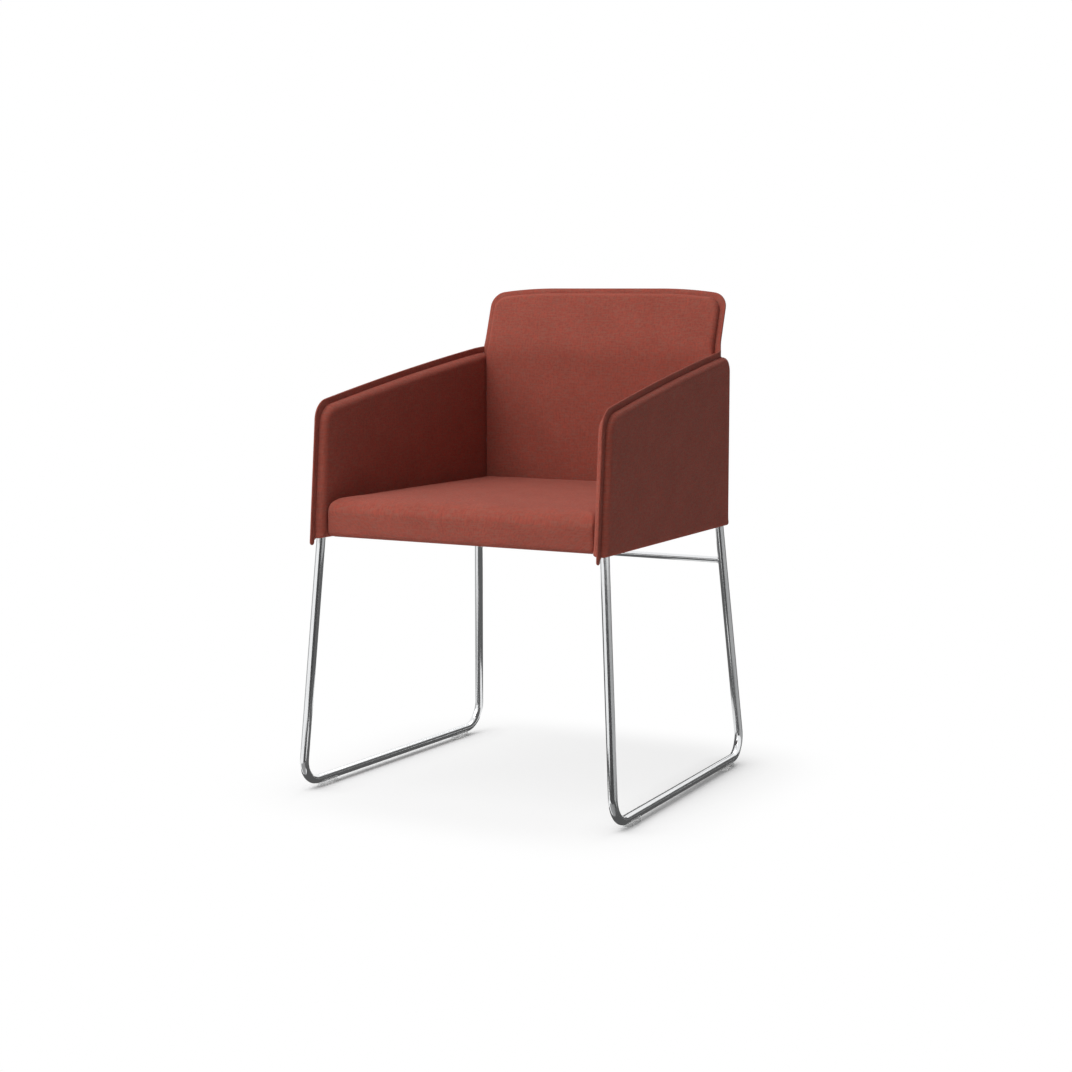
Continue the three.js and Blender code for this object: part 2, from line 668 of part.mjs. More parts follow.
/** The bolts of the left arm, with a placement from a bolt's own frame to its place. */
function armBolts() {
  const armPlaced = (along, up) => (geometry) => placeOnArm(geometry.translate(PAD_FACE, along, up));
  const railMiddle = RAIL_FOOT + RAIL_THICKNESS / 2;
  const heights = [ANGLE_FOOT + ANGLE_BOLT_INSET, ANGLE_FOOT + ANGLE_LENGTH - ANGLE_BOLT_INSET];
  const angleAlong = ANGLE_REAR - ANGLE_LEG + ANGLE_BOLT_EDGE;
  const backAcross = armFaceAt(-PAD_FACE, ANGLE_REAR) - ANGLE_LEG + ANGLE_BOLT_EDGE;
  const backFace = BACK_FIN_REACH + HALF_PLATE + FIT_GAP;
  const onBack = (up) => (geometry) =>
    geometry.rotateZ(Math.PI / 2).translate(backAcross, backFace, up);
  return [
    { name: "rail_bolt_front", length: RAIL_BOLT_LENGTH, put: armPlaced(-FRONT_RAIL_REACH, railMiddle) },
    { name: "rail_bolt_rear", length: RAIL_BOLT_LENGTH, put: armPlaced(REAR_RAIL_REACH, railMiddle) },
    { name: "angle_bolt_arm_low", length: ANGLE_BOLT_LENGTH, put: armPlaced(angleAlong, heights[0]) },
    { name: "angle_bolt_arm_high", length: ANGLE_BOLT_LENGTH, put: armPlaced(angleAlong, heights[1]) },
    { name: "angle_bolt_back_low", length: ANGLE_BOLT_LENGTH, put: onBack(heights[0]) },
    { name: "angle_bolt_back_high", length: ANGLE_BOLT_LENGTH, put: onBack(heights[1]) },
  ];
}

/** The angle between the left arm panel and the back panel, grown by a clearance as a cutter. */
function backAngle(clearance = 0) {
  const side = (offset, along) => new THREE.Vector2(armFaceAt(offset, along), along);
  const legEnd = ANGLE_REAR - ANGLE_LEG - clearance;
  const inFace = -PAD_FACE - ANGLE_THICKNESS - clearance;
  const outline = [
    side(-PAD_FACE + clearance, legEnd),
    side(-PAD_FACE + clearance, ANGLE_REAR + clearance),
    new THREE.Vector2(armFaceAt(-PAD_FACE, ANGLE_REAR) - ANGLE_LEG - clearance, ANGLE_REAR + clearance),
    new THREE.Vector2(
      armFaceAt(-PAD_FACE, ANGLE_REAR) - ANGLE_LEG - clearance,
      ANGLE_REAR - ANGLE_THICKNESS - clearance,
    ),
    side(inFace, ANGLE_REAR - ANGLE_THICKNESS - clearance),
    side(inFace, legEnd),
  ];
  return prism(outline, ANGLE_FOOT - clearance, ANGLE_LENGTH + 2 * clearance);
}

/** A seat rail from arm panel to arm panel, grown by a clearance when it is used as a cutter. */
function rail(along, clearance = 0) {
  const ends = [along - RAIL_WIDTH / 2 - clearance, along + RAIL_WIDTH / 2 + clearance];
  const [front, rear] = ends.map((y) => armFaceAt(-PAD_FACE + clearance, y));
  const outline = [
    new THREE.Vector2(-front, ends[0]),
    new THREE.Vector2(front, ends[0]),
    new THREE.Vector2(rear, ends[1]),
    new THREE.Vector2(-rear, ends[1]),
  ];
  return prism(outline, RAIL_FOOT - clearance, RAIL_THICKNESS + 2 * clearance);
}

/** A prism over the seat's plan, drawn in from the arm pads by a room. */
function seatPrism(frontReach, rearReach, room, foot, height) {
  const offset = -PAD_FACE - INNER_PAD_THICKNESS - ARM_PAD_CROWN - room;
  const outline = [
    new THREE.Vector2(-armFaceAt(offset, -frontReach), -frontReach),
    new THREE.Vector2(armFaceAt(offset, -frontReach), -frontReach),
    new THREE.Vector2(armFaceAt(offset, rearReach), rearReach),
    new THREE.Vector2(-armFaceAt(offset, rearReach), rearReach),
  ];
  return prism(outline, foot, height);
}

/** The arm panel: sheet steel inside the fin, slotted for the leg tops. */
function armPlate(cutters) {
  const edge = armEdge(FIN_SHOW + FIN_TUCK + FIT_GAP, ARM_PLATE_REACH);
  const foot = ARM_UNDERSIDE + PLATE_RECESS;
  edge[0].set(edge[0].x + PLATE_RECESS * Math.tan(ARM_FRONT_LEAN), foot);
  const outline = [...edge, new THREE.Vector2(ARM_PLATE_REACH, foot)];
  const sheet = prism(outline, -HALF_PLATE, PLATE_THICKNESS);
  return cut(placeOnArm(uprighted(sheet)), cutters);
}

/** Stands a prism drawn in along and up on the arm's own plane. */
function uprighted(geometry) {
  return geometry.rotateX(Math.PI / 2).rotateZ(Math.PI / 2);
}

/** The sewn fin that runs up the arm's front and along its top, and sweeps in to the back's fin. */
function armWelt() {
  const outer = armEdge(0, FIN_REACH);
  const shown = armEdge(FIN_SHOW, FIN_REACH);
  const clear = armEdge(FIN_SHOW - FIT_GAP, FIN_REACH);
  const inner = armEdge(FIN_SHOW + FIN_TUCK, FIN_REACH);
  const sweepAt = (along) => {
    const share = Math.max(along - FIN_REACH + FIN_SWEEP_RUN, 0) / FIN_SWEEP_RUN;
    return -FIN_SWEEP * share ** 2;
  };
  const section = (a, b) =>
    [
      [-HALF_FIN, a],
      [HALF_FIN, a],
      [HALF_FIN, b],
      [-HALF_FIN, b],
    ].map(([out, p]) => new THREE.Vector3(out + sweepAt(p.x), p.x, p.y));
  const down = new THREE.Vector2(-Math.sin(ARM_FRONT_LEAN), -Math.cos(ARM_FRONT_LEAN));
  const inward = new THREE.Vector2(-down.y, down.x);
  const middle = outer[0].clone().add(shown[0]).divideScalar(2);
  const half = FIN_SHOW / 2;
  const tip = Array.from({ length: FIN_TIP_STEPS }, (_, i) => {
    const angle = (Math.PI / 2) * (i / FIN_TIP_STEPS);
    const point = middle.clone().addScaledVector(down, FIN_TIP_DROP - half * (1 - Math.sin(angle)));
    const width = half * Math.cos(angle);
    const ends = [-width, width].map((reach) => point.clone().addScaledVector(inward, reach));
    return section(...ends);
  }).reverse();
  const swept = outer.length - 1 - FIN_SWEEP_STEPS;
  const tucked = outer.slice(0, swept + 1).map((p, i) => section(p, inner[i]));
  const free = outer.slice(swept).map((p, i) => section(p, clear[swept + i]));
  return placeOnArm(loft([...tip, section(outer[0], shown[0]), ...tucked, ...free]));
}

/** The grid of an arm pad whose rear side stands at a reach. */
function armPanel(reach, thickness, rearRadius, rearTurn) {
  const lift = FIN_SHOW;
  const cornerRadius = ARM_CORNER_RADIUS - FIN_SHOW;
  const width = reach + ARM_CORNER_REACH;
  const height = ARM_TOP_HEIGHT - ARM_UNDERSIDE;
  const rearRun = Math.max(rearRadius, rearTurn);
  const rearSteps = rearRadius > rearTurn ? TURN_STEPS : FOOT_STEPS;
  return new Panel({
    limits: {
      left: (v) => armFrontAt(v) + lift,
      right: () => reach,
      low: (u) => ARM_UNDERSIDE - (ARM_UNDERSIDE_FALL * (u + ARM_CORNER_REACH)) / width,
      high: (u) => armTopAt(u) - lift,
    },
    corners: {
      lowLeft: PAD_FOOT_RADIUS,
      lowRight: PAD_FOOT_RADIUS,
      highLeft: cornerRadius,
      highRight: rearRadius,
    },
    turns: { left: thickness, right: rearTurn, low: PAD_FOOT_TURN, high: thickness },
    rows: gradedShares(height, FOOT_RUN, FOOT_STEPS, cornerRadius, TURN_STEPS),
    columns: gradedShares(width, cornerRadius, TURN_STEPS, rearRun, rearSteps),
  });
}

function armInnerPad(cutters) {
  const panel = armPanel(INNER_PAD_REACH, INNER_PAD_THICKNESS, PAD_FOOT_RADIUS, PAD_BUTT_TURN);
  const skin = panel.skin(
    (u, v, h) => new THREE.Vector3(PAD_FACE + h, u, v),
    (u, v) => INNER_PAD_THICKNESS * panel.fullness(u, v) + ARM_PAD_CROWN * panel.crown(u, v),
  );
  return cut(placeOnArm(mirrored(skin)), cutters);
}

function armOuterPad(cutters) {
  const panel = armPanel(OUTER_PAD_REACH, OUTER_PAD_THICKNESS, OUTER_REAR_RADIUS, OUTER_REAR_TURN);
  const outward = panel.skin(
    (u, v, h) => new THREE.Vector3(PAD_FACE + h, u, v),
    (u, v) => OUTER_PAD_THICKNESS * panel.fullness(u, v) + ARM_PAD_CROWN * panel.crown(u, v),
  );
  const inward = panel.skin(
    (u, v, h) => new THREE.Vector3(h - PAD_FACE, u, v),
    (u, v) => OUTER_WRAP_THICKNESS * panel.fullness(u, v),
  );
  const wrapFront = ARM_PLATE_REACH + FIT_GAP;
  const length = wrapFront + ARM_CORNER_REACH + ARM_CORNER_RADIUS;
  const depth = OUTER_WRAP_THICKNESS + 2 * OVERRUN;
  const front = new THREE.BoxGeometry(depth, length, ARM_TOP_HEIGHT).translate(
    PAD_FACE - OUTER_WRAP_THICKNESS / 2,
    wrapFront - length / 2,
    ARM_TOP_HEIGHT / 2 + PLATE_RECESS,
  );
  const wrap = cut(mirrored(inward), [front]);
  return cut(placeOnArm(joined([outward, wrap])), cutters);
}

/** The back's side profile: the point and forward normal at a rise along it. */
function backProfile() {
  const foot = new THREE.Vector2(BACK_FIN_REACH, BACK_FOOT);
  const bend = new THREE.Vector2(BACK_FIN_REACH, BACK_BEND_HEIGHT);
  const lean = new THREE.Vector2(Math.sin(BACK_LEAN), Math.cos(BACK_LEAN));
  const end = bend.clone().addScaledVector(lean, BACK_RISE);
  const arc = arcAt(foot, bend, end, BACK_BEND_RADIUS, BACK_BEND_STEPS);
  const straight = arc[0].point.y - BACK_FOOT;
  const bendLength = BACK_BEND_RADIUS * BACK_LEAN;
  return { foot, arc, straight, bendLength };
}

const BACK_PROFILE = backProfile();

/** A point of the back: across, rise along the profile, and height forward of the fin's plane. */
function backPoint(across, rise, forward) {
  const { foot, arc, straight, bendLength } = BACK_PROFILE;
  const turned = THREE.MathUtils.clamp((rise - straight) / bendLength, 0, 1) * BACK_LEAN;
  const heading = new THREE.Vector2(Math.sin(turned), Math.cos(turned));
  const point = foot.clone();
  if (rise <= straight) point.y += rise;
  else {
    const start = arc[0].point;
    point.set(
      start.x + BACK_BEND_RADIUS * (1 - Math.cos(turned)),
      start.y + BACK_BEND_RADIUS * Math.sin(turned),
    );
    point.addScaledVector(heading, Math.max(rise - straight - bendLength, 0));
  }
  return new THREE.Vector3(across, point.x - heading.y * forward, point.y + heading.x * forward);
}

/** The rises at which the back's rows fall round its bend. */
function bendRises() {
  const { straight, bendLength } = BACK_PROFILE;
  const step = bendLength / BACK_BEND_STEPS;
  return Array.from({ length: BACK_BEND_STEPS + 1 }, (_, i) => straight + step * i);
}

function backTopAt(across) {
  const past = Math.max(Math.abs(across) - BACK_TOP_FLAT, 0) / (BACK_HALF_WIDTH - BACK_TOP_FLAT);
  return BACK_RISE - BACK_TOP_DROP * past ** 2;
}

function backPlate(cutters) {
  const edgeInset = FIN_SHOW + FIN_TUCK + FIT_GAP;
  const narrow = BACK_HALF_WIDTH - edgeInset;
  const shoulder = BACK_WELT_RISE - FIT_GAP;
  const top = BACK_RISE - BACK_TOP_DROP - BACK_CORNER_RADIUS;
  const section = (half, rise) => [
    backPoint(-half, rise, HALF_PLATE),
    backPoint(half, rise, HALF_PLATE),
    backPoint(half, rise, -HALF_PLATE),
    backPoint(-half, rise, -HALF_PLATE),
  ];
  const sections = [
    section(BACK_PLATE_HALF_WIDTH, PLATE_RECESS),
    section(BACK_PLATE_HALF_WIDTH, shoulder),
    ...[shoulder, ...bendRises(), top].map((rise) => section(narrow, rise)),
  ];
  return cut(loft(sections), cutters);
}

/** The sewn fin up the back's sides and over its top. */
function backWelt() {
  const half = BACK_HALF_WIDTH;
  const side = [BACK_WELT_RISE, ...bendRises()].map((rise) => new THREE.Vector2(-half, rise));
  const crowned = Array.from({ length: BACK_TOP_STEPS }, (_, i) => {
    const across = -half + ((half - BACK_TOP_FLAT) * (i + 1)) / BACK_TOP_STEPS;
    return new THREE.Vector2(across, backTopAt(across));
  });
  const corner = new THREE.Vector2(-half, backTopAt(half));
  const arc = arcAt(side[side.length - 1], corner, crowned[0], BACK_CORNER_RADIUS, BACK_CORNER_STEPS);
  const leftEdge = [...side, ...arc.map((s) => s.point), ...crowned];
  const rightEdge = leftEdge.map((p) => new THREE.Vector2(-p.x, p.y)).reverse();
  const outer = [...leftEdge, ...rightEdge];
  const inner = insetLine(outer, FIN_SHOW + FIN_TUCK);
  inner[0].y = BACK_WELT_RISE;
  inner[inner.length - 1].y = BACK_WELT_RISE;
  return loft(
    outer.map((p, i) => [
      backPoint(p.x, p.y, HALF_FIN),
      backPoint(inner[i].x, inner[i].y, HALF_FIN),
      backPoint(inner[i].x, inner[i].y, -HALF_FIN),
      backPoint(p.x, p.y, -HALF_FIN),
    ]),
  );
}

/** A back pad: facing is 1 in front of the panel and -1 behind it. */
function backPad(facing, thickness, cutters) {
  const cornerRadius = BACK_CORNER_RADIUS - FIN_SHOW / 2;
  const halfAt = (v) => {
    const end = BACK_PAD_BLEND_RISE + BACK_PAD_BLEND_RUN;
    const freed = THREE.MathUtils.smoothstep(v, BACK_PAD_BLEND_RISE, end);
    return THREE.MathUtils.lerp(BACK_PAD_SEATED_HALF_WIDTH, BACK_PAD_HALF_WIDTH, freed);
  };
  const width = 2 * BACK_PAD_HALF_WIDTH;
  const rows = gradedShares(BACK_RISE - FIN_SHOW, FOOT_RUN, FOOT_STEPS, cornerRadius, TURN_STEPS);
  const bends = bendRises().map((rise) => rise / (BACK_RISE - FIN_SHOW));
  const kept = rows.filter((share) => bends.every((b) => Math.abs(b - share) > FOOT_RUN / BACK_RISE));
  const panel = new Panel({
    limits: {
      left: (v) => -halfAt(v),
      right: halfAt,
      low: () => 0,
      high: (u) => backTopAt(u) - FIN_SHOW,
    },
    corners: {
      lowLeft: PAD_FOOT_RADIUS,
      lowRight: PAD_FOOT_RADIUS,
      highLeft: cornerRadius,
      highRight: cornerRadius,
    },
    turns: { left: thickness, right: thickness, low: PAD_FOOT_TURN, high: thickness },
    rows: [...kept, ...bends].sort((a, b) => a - b),
    columns: gradedShares(width, cornerRadius, TURN_STEPS, cornerRadius, TURN_STEPS),
    straightTo: bends[BACK_BEND_STEPS],
  });
  const skin = panel.skin(
    (u, v, h) => backPoint(facing * u, v, facing * (PAD_FACE + h)),
    (u, v) => thickness * panel.fullness(u, v) + BACK_PAD_CROWN * panel.crown(u, v),
  );
  return cut(skin, cutters);
}

/** The seat cushion: foam and cover over the board, with a skirt down its sides. */
function seatCushion(cutters) {
  const offset = -PAD_FACE - INNER_PAD_THICKNESS - ARM_PAD_CROWN - SEAT_SIDE_ROOM;
  const depth = SEAT_FRONT_REACH + SEAT_REAR_REACH;
  const panel = new Panel({
    limits: {
      left: (v) => -armFaceAt(offset, v),
      right: (v) => armFaceAt(offset, v),
      low: () => -SEAT_FRONT_REACH,
      high: () => SEAT_REAR_REACH,
    },
    corners: {
      lowLeft: SEAT_CORNER_RADIUS,
      lowRight: SEAT_CORNER_RADIUS,
      highLeft: PAD_FOOT_RADIUS,
      highRight: PAD_FOOT_RADIUS,
    },
    turns: { left: SEAT_SIDE_TURN, right: SEAT_SIDE_TURN, low: SEAT_FRONT_TURN, high: SEAT_SIDE_TURN },
    rows: gradedShares(depth, SEAT_FRONT_TURN, TURN_STEPS, SEAT_SIDE_TURN, FOOT_STEPS),
    columns: gradedShares(
      2 * armFaceAt(offset, 0),
      SEAT_CORNER_RADIUS,
      TURN_STEPS,
      SEAT_CORNER_RADIUS,
      TURN_STEPS,
    ),
  });
  const skin = panel.skin(
    (u, v, h) => new THREE.Vector3(u, v, SEAT_FOOT + h),
    (u, v) => SEAT_THICKNESS - SEAT_ROUND * (1 - panel.fullness(u, v)) + SEAT_CROWN * panel.crown(u, v),
  );
  return cut(skin, cutters);
}

function mesh(name, geometry, finish) {
  geometry.computeVertexNormals();
  const made = new THREE.Mesh(geometry, new THREE.MeshStandardMaterial(finish));
  made.name = name;
  return made;
}

function build() {
  const group = new THREE.Group();
  const add = (name, geometry, finish) => group.add(mesh(name, geometry, finish));
  const addBoth = (name, geometry, finish) =>
    SIDES.forEach(({ side, mirror }) =>
      add(name + "_" + side, mirror ? mirrored(geometry) : geometry.clone(), finish),
    );
  const both = (geometry) => [geometry, mirrored(geometry)];

  const rodSpace = sideRod(FIT_GAP);
  const angleSpace = backAngle(FIT_GAP);
  const bolts = armBolts();
  const boltSpaces = bolts.map(({ length, put }) => put(armBolt(length, FIT_GAP)));
  const rails = { front: -FRONT_RAIL_REACH, rear: REAR_RAIL_REACH };
  const railSpaces = Object.values(rails).map((along) => rail(along, FIT_GAP));

  const pegSpaces = [-FRONT_GLIDE_REACH, REAR_GLIDE_REACH].map((along) => peg(along, FIT_GAP));
  addBoth("side_frame", cut(sideRod(), pegSpaces), CHROME);
  add("rear_crossbar", crossbar(rodSpace), CHROME);
  addBoth("glide_front", glide(-FRONT_GLIDE_REACH, rodSpace), CLEAR_PLASTIC);
  addBoth("glide_rear", glide(REAR_GLIDE_REACH, rodSpace), CLEAR_PLASTIC);

  addBoth("arm_plate", armPlate([rodSpace, ...boltSpaces]), PANEL_STEEL);
  addBoth("arm_welt", armWelt(), FABRIC);
  addBoth("arm_inner_pad", armInnerPad([rodSpace, angleSpace, ...boltSpaces, ...railSpaces]), FABRIC);
  addBoth("arm_outer_pad", armOuterPad([rodSpace, ...boltSpaces]), FABRIC);

  const backCutters = boltSpaces.flatMap(both);
  add("back_plate", backPlate(backCutters), PANEL_STEEL);
  add("back_welt", backWelt(), FABRIC);
  const frontCutters = [...both(angleSpace), ...backCutters];
  add("back_front_pad", backPad(1, BACK_FRONT_THICKNESS, frontCutters), FABRIC);
  add("back_rear_pad", backPad(-1, BACK_REAR_THICKNESS, backCutters), FABRIC);
  addBoth("back_angle", cut(backAngle(), boltSpaces), ZINC);
  for (const { name, length, put } of bolts)
    addBoth(name, put(cut(armBolt(length), [hexSocket(BOLT_HEAD_HEIGHT)])), ZINC);

  const screwFoot = RAIL_FOOT - FIT_GAP;
  const boardFoot = RAIL_FOOT + RAIL_THICKNESS + FIT_GAP;
  const boardTop = boardFoot + BOARD_THICKNESS;
  const upwards = (geometry, x, y) => geometry.rotateY(Math.PI / 2).translate(x, y, screwFoot);
  const screw = (clearance = 0) =>
    boltBlank(SCREW_LENGTH, SCREW_DIAMETER, SCREW_HEAD_DIAMETER, SCREW_HEAD_HEIGHT, clearance);
  const teeNut = (x, y, clearance = 0) => {
    const flange = post(
      TEE_FLANGE_DIAMETER + 2 * clearance,
      TEE_FLANGE_THICKNESS + 2 * clearance,
      FASTENER_SIDES,
    ).translate(x, y, boardTop + FIT_GAP - clearance);
    const barrelLength = TEE_BARREL_LENGTH + TEE_FLANGE_THICKNESS / 2 + clearance;
    const barrel = post(TEE_BARREL_DIAMETER + 2 * clearance, barrelLength, FASTENER_SIDES).translate(
      x,
      y,
      boardTop - TEE_BARREL_LENGTH - clearance,
    );
    return joined([flange, barrel]);
  };
  const screwPlaces = Object.entries(rails).flatMap(([name, y]) =>
    SIDES.map(({ side, mirror }) => ({
      name: name + "_" + side,
      x: mirror ? -SCREW_SPREAD : SCREW_SPREAD,
      y,
    })),
  );
  const screwSpaces = screwPlaces.map(({ x, y }) => upwards(screw(FIT_GAP), x, y));
  const nutSpaces = screwPlaces.map(({ x, y }) => teeNut(x, y, FIT_GAP));
  for (const [name, along] of Object.entries(rails))
    add("seat_rail_" + name, cut(rail(along), [...boltSpaces.flatMap(both), ...screwSpaces]), PANEL_STEEL);
  screwPlaces.forEach(({ name, x, y }, i) => {
    add("seat_screw_" + name, upwards(cut(screw(), [hexSocket(SCREW_HEAD_HEIGHT)]), x, y), ZINC);
    add("seat_tee_nut_" + name, cut(teeNut(x, y), [screwSpaces[i]]), ZINC);
  });

  const board = seatPrism(BOARD_FRONT_REACH, BOARD_REAR_REACH, BOARD_SIDE_ROOM, boardFoot, BOARD_THICKNESS);
  add("seat_board", cut(board, [...screwSpaces, ...nutSpaces]), PLYWOOD);
  const coverFoot = SEAT_FOOT + FIT_GAP;
  const cover = seatPrism(BOARD_FRONT_REACH, BOARD_REAR_REACH, BOARD_SIDE_ROOM, coverFoot, COVER_THICKNESS);
  add("dust_cover", cover, BLACK_CLOTH);
  const hollow = seatPrism(
    BOARD_FRONT_REACH + FIT_GAP,
    BOARD_REAR_REACH + FIT_GAP,
    BOARD_SIDE_ROOM - FIT_GAP,
    SEAT_FOOT - OVERRUN,
    boardTop + FIT_GAP - SEAT_FOOT + OVERRUN,
  );
  add("seat_cushion", seatCushion([hollow, ...railSpaces, ...nutSpaces]), FABRIC);

  const box = new THREE.Box3().setFromObject(group, true);
  const middle = (box.min.y + box.max.y) / 2;
  group.children.forEach((child) => child.geometry.translate(0, -middle, 0));
  return group;
}

const group = build();
export default group;
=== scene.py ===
"""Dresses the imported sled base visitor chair: bright bent rods, clear glides and melange wool upholstery.

Lengths are in metres. +Z is up, the front faces -Y, and the sitter's left is +X.
"""

import logging
import math
from collections.abc import Callable, Sequence
from dataclasses import dataclass, field
from enum import Enum
from functools import cached_property
from itertools import accumulate

import bmesh
import bpy
import numpy as np
from mathutils import Matrix, Vector


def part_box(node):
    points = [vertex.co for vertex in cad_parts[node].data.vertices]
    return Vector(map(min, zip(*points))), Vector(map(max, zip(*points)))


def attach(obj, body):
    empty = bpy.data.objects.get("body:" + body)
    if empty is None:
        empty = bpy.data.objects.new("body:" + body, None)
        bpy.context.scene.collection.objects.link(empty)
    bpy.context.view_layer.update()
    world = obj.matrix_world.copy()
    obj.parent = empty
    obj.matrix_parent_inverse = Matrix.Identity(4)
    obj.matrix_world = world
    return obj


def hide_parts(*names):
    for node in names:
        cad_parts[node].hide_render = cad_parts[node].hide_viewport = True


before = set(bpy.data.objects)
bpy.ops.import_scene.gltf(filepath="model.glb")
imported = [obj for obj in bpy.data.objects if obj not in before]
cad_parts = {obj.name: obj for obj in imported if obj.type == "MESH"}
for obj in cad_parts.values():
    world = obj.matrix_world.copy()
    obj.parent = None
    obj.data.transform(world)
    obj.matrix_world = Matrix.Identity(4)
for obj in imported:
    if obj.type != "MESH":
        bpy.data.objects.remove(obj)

LOG = logging.getLogger("visitor_chair")
BODY = "root"
WELD = 1e-6
SHARP_EDGE = math.radians(38)
FIT_GAP = 0.0003
ONE_FACE = [(0, 1, 2, 3)]
HALVINGS = 40
EDGE_SLACK = 1e-7

Point = tuple[float, float, float]
Colour = tuple[float, float, float, float]
Faces = list[tuple[int, ...]]
Array = np.ndarray
Places = Callable[[Array, Array, Array], Array]
Piece = bpy.types.Object
Material = bpy.types.Material
Tree = bpy.types.NodeTree
Socket = bpy.types.NodeSocket
Inputs = dict[str | int, object]
Look = tuple[Inputs, Socket]


class Side(Enum):
    """The sitter's side of the chair on which a piece stands."""

    LEFT = 1
    RIGHT = -1

    @property
    def label(self) -> str:
        """The side's name as it ends a node's name."""
        return self.name.lower()


class Facing(Enum):
    """Front or rear: the face that a pad covers, or the end of a runner."""

    FRONT = 1
    REAR = -1


# Meshes


def linked(name: str, data: bpy.types.ID) -> Piece:
    """Makes an object of some data and puts it into the scene.

    Args:
        name: the object's name.
        data: its mesh, lamp or camera.

    Returns:
        The object.
    """
    made = bpy.data.objects.new(name, data)
    bpy.context.scene.collection.objects.link(made)
    return made


@dataclass
class Skin:
    """A closed mesh before it becomes an object.

    Args:
        points: the places of its points.
        faces: its faces, as indices of points.
        cloth: one pair of lengths for each point, measured along the surface.
        values: further numbers for each point, by name.
    """

    points: Array
    faces: Faces
    cloth: Array
    values: dict[str, Array] = field(default_factory=dict)

    def on(self, side: Side) -> "Skin":
        """A skin of the left side, or its mirror image on the right side.

        Args:
            side: the side asked for.

        Returns:
            The skin there.
        """
        if side is Side.LEFT:
            return self
        points = self.points * np.array([-1.0, 1.0, 1.0])
        faces = [tuple(reversed(face)) for face in self.faces]
        return Skin(points, faces, self.cloth, self.values)

    def piece(self, name: str, finish: Material) -> Piece:
        """Makes the skin an object.

        Args:
            name: the piece's name.
            finish: its material.

        Returns:
            The object, at the origin, with its faces outwards.
        """
        mesh = bpy.data.meshes.new(name)
        mesh.from_pydata(self.points.tolist(), [], self.faces)
        corners = np.empty(len(mesh.loops), np.int32)
        mesh.loops.foreach_get("vertex_index", corners)
        layer = mesh.uv_layers.new(name="cloth")
        layer.data.foreach_set("uv", self.cloth[corners].astype(np.float32).ravel())
        for key, numbers in self.values.items():
            attribute = mesh.attributes.new(key, "FLOAT", "POINT")
            attribute.data.foreach_set("value", numbers.astype(np.float32))
        made = bmesh.new()
        made.from_mesh(mesh)
        bmesh.ops.remove_doubles(made, verts=made.verts, dist=WELD)
        bmesh.ops.dissolve_degenerate(made, edges=made.edges, dist=WELD)
        bmesh.ops.recalc_face_normals(made, faces=made.faces)
        made.to_mesh(mesh)
        made.free()
        finish_mesh(mesh)
        mesh.materials.append(finish)
        return linked(name, mesh)


def finish_mesh(mesh: bpy.types.Mesh) -> None:
    """Shades a mesh smooth and keeps its sharp edges.

    Args:
        mesh: the mesh.
    """
    mesh.polygons.foreach_set("use_smooth", [True] * len(mesh.polygons))
    mesh.set_sharp_from_angle(angle=SHARP_EDGE)
    mesh.update()


def settle(piece: Piece, nodes: Sequence[str]) -> None:
    """Hands a finished piece to the frame.

    Args:
        piece: the finished object.
        nodes: the CAD nodes that it stands for, if any.
    """
    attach(piece, BODY)
    if nodes:
        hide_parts(*nodes)
    LOG.info("%s: %d faces, for %s", piece.name, len(piece.data.polygons), ", ".join(nodes) or "trim")


def applied(piece: Piece) -> None:
    """Turns a piece's modifiers into its own mesh.

    Args:
        piece: the piece.
    """
    graph = bpy.context.evaluated_depsgraph_get()
    mesh = bpy.data.meshes.new_from_object(piece.evaluated_get(graph), depsgraph=graph)
    old = piece.data
    piece.modifiers.clear()
    piece.data = mesh
    bpy.data.meshes.remove(old)
    mesh.name = piece.name


def rounded_corner(before: Vector, corner: Vector, after: Vector, radius: float, steps: int) -> list[Vector]:
    """The points of an arc that rounds one corner of a path.

    Args:
        before: the path's point before the corner.
        corner: the corner.
        after: the path's point after the corner.
        radius: the arc's radius.
        steps: into how many stretches the arc is cut.

    Returns:
        The arc's points, from its start to its end.
    """
    come = (corner - before).normalized()
    go = (after - corner).normalized()
    turn = math.acos(max(-1.0, min(1.0, come.dot(go))))
    side = (go - come * come.dot(go)).normalized()
    start = corner - come * (radius * math.tan(turn / 2))
    angles = [turn * i / steps for i in range(steps + 1)]
    return [start + come * (radius * math.sin(a)) + side * (radius * (1 - math.cos(a))) for a in angles]


def inset_line(points: Sequence[Vector], inset: float) -> list[Vector]:
    """A line in a plane moved to its right.

    Args:
        points: the line's points.
        inset: how far it moves.

    Returns:
        The moved points.
    """
    headings = [(b - a).normalized() for a, b in zip(points, points[1:])]
    moved = []
    for i, point in enumerate(points):
        before = headings[max(i - 1, 0)]
        after = headings[min(i, len(headings) - 1)]
        mean = (before + after).normalized()
        moved.append(point + Vector((mean.y, -mean.x)) * (inset / mean.dot(after)))
    return moved


def run_lengths(points: Sequence[Vector]) -> list[float]:
    """The length along a line up to each of its points."""
    return [0.0, *accumulate((b - a).length for a, b in zip(points, points[1:]))]


def grid_faces(rows: int, columns: int, start: int = 0) -> Faces:
    """The faces of a grid whose points are numbered row by row from a start."""
    corners = [start + i * columns + j for i in range(rows - 1) for j in range(columns - 1)]
    return [(a, a + 1, a + columns + 1, a + columns) for a in corners]


def grid_rim(rows: int, columns: int) -> list[int]:
    """The points round a grid's edge, from its first point along its first row.

    Args:
        rows: how many rows the grid has.
        columns: how many columns it has.

    Returns:
        The points' numbers in order.
    """
    last = (rows - 1) * columns
    along = [*range(columns), *range(2 * columns - 1, last, columns)]
    back = range(last + columns - 1, last, -1)
    return [*along, *back, *range(last, 0, -columns)]


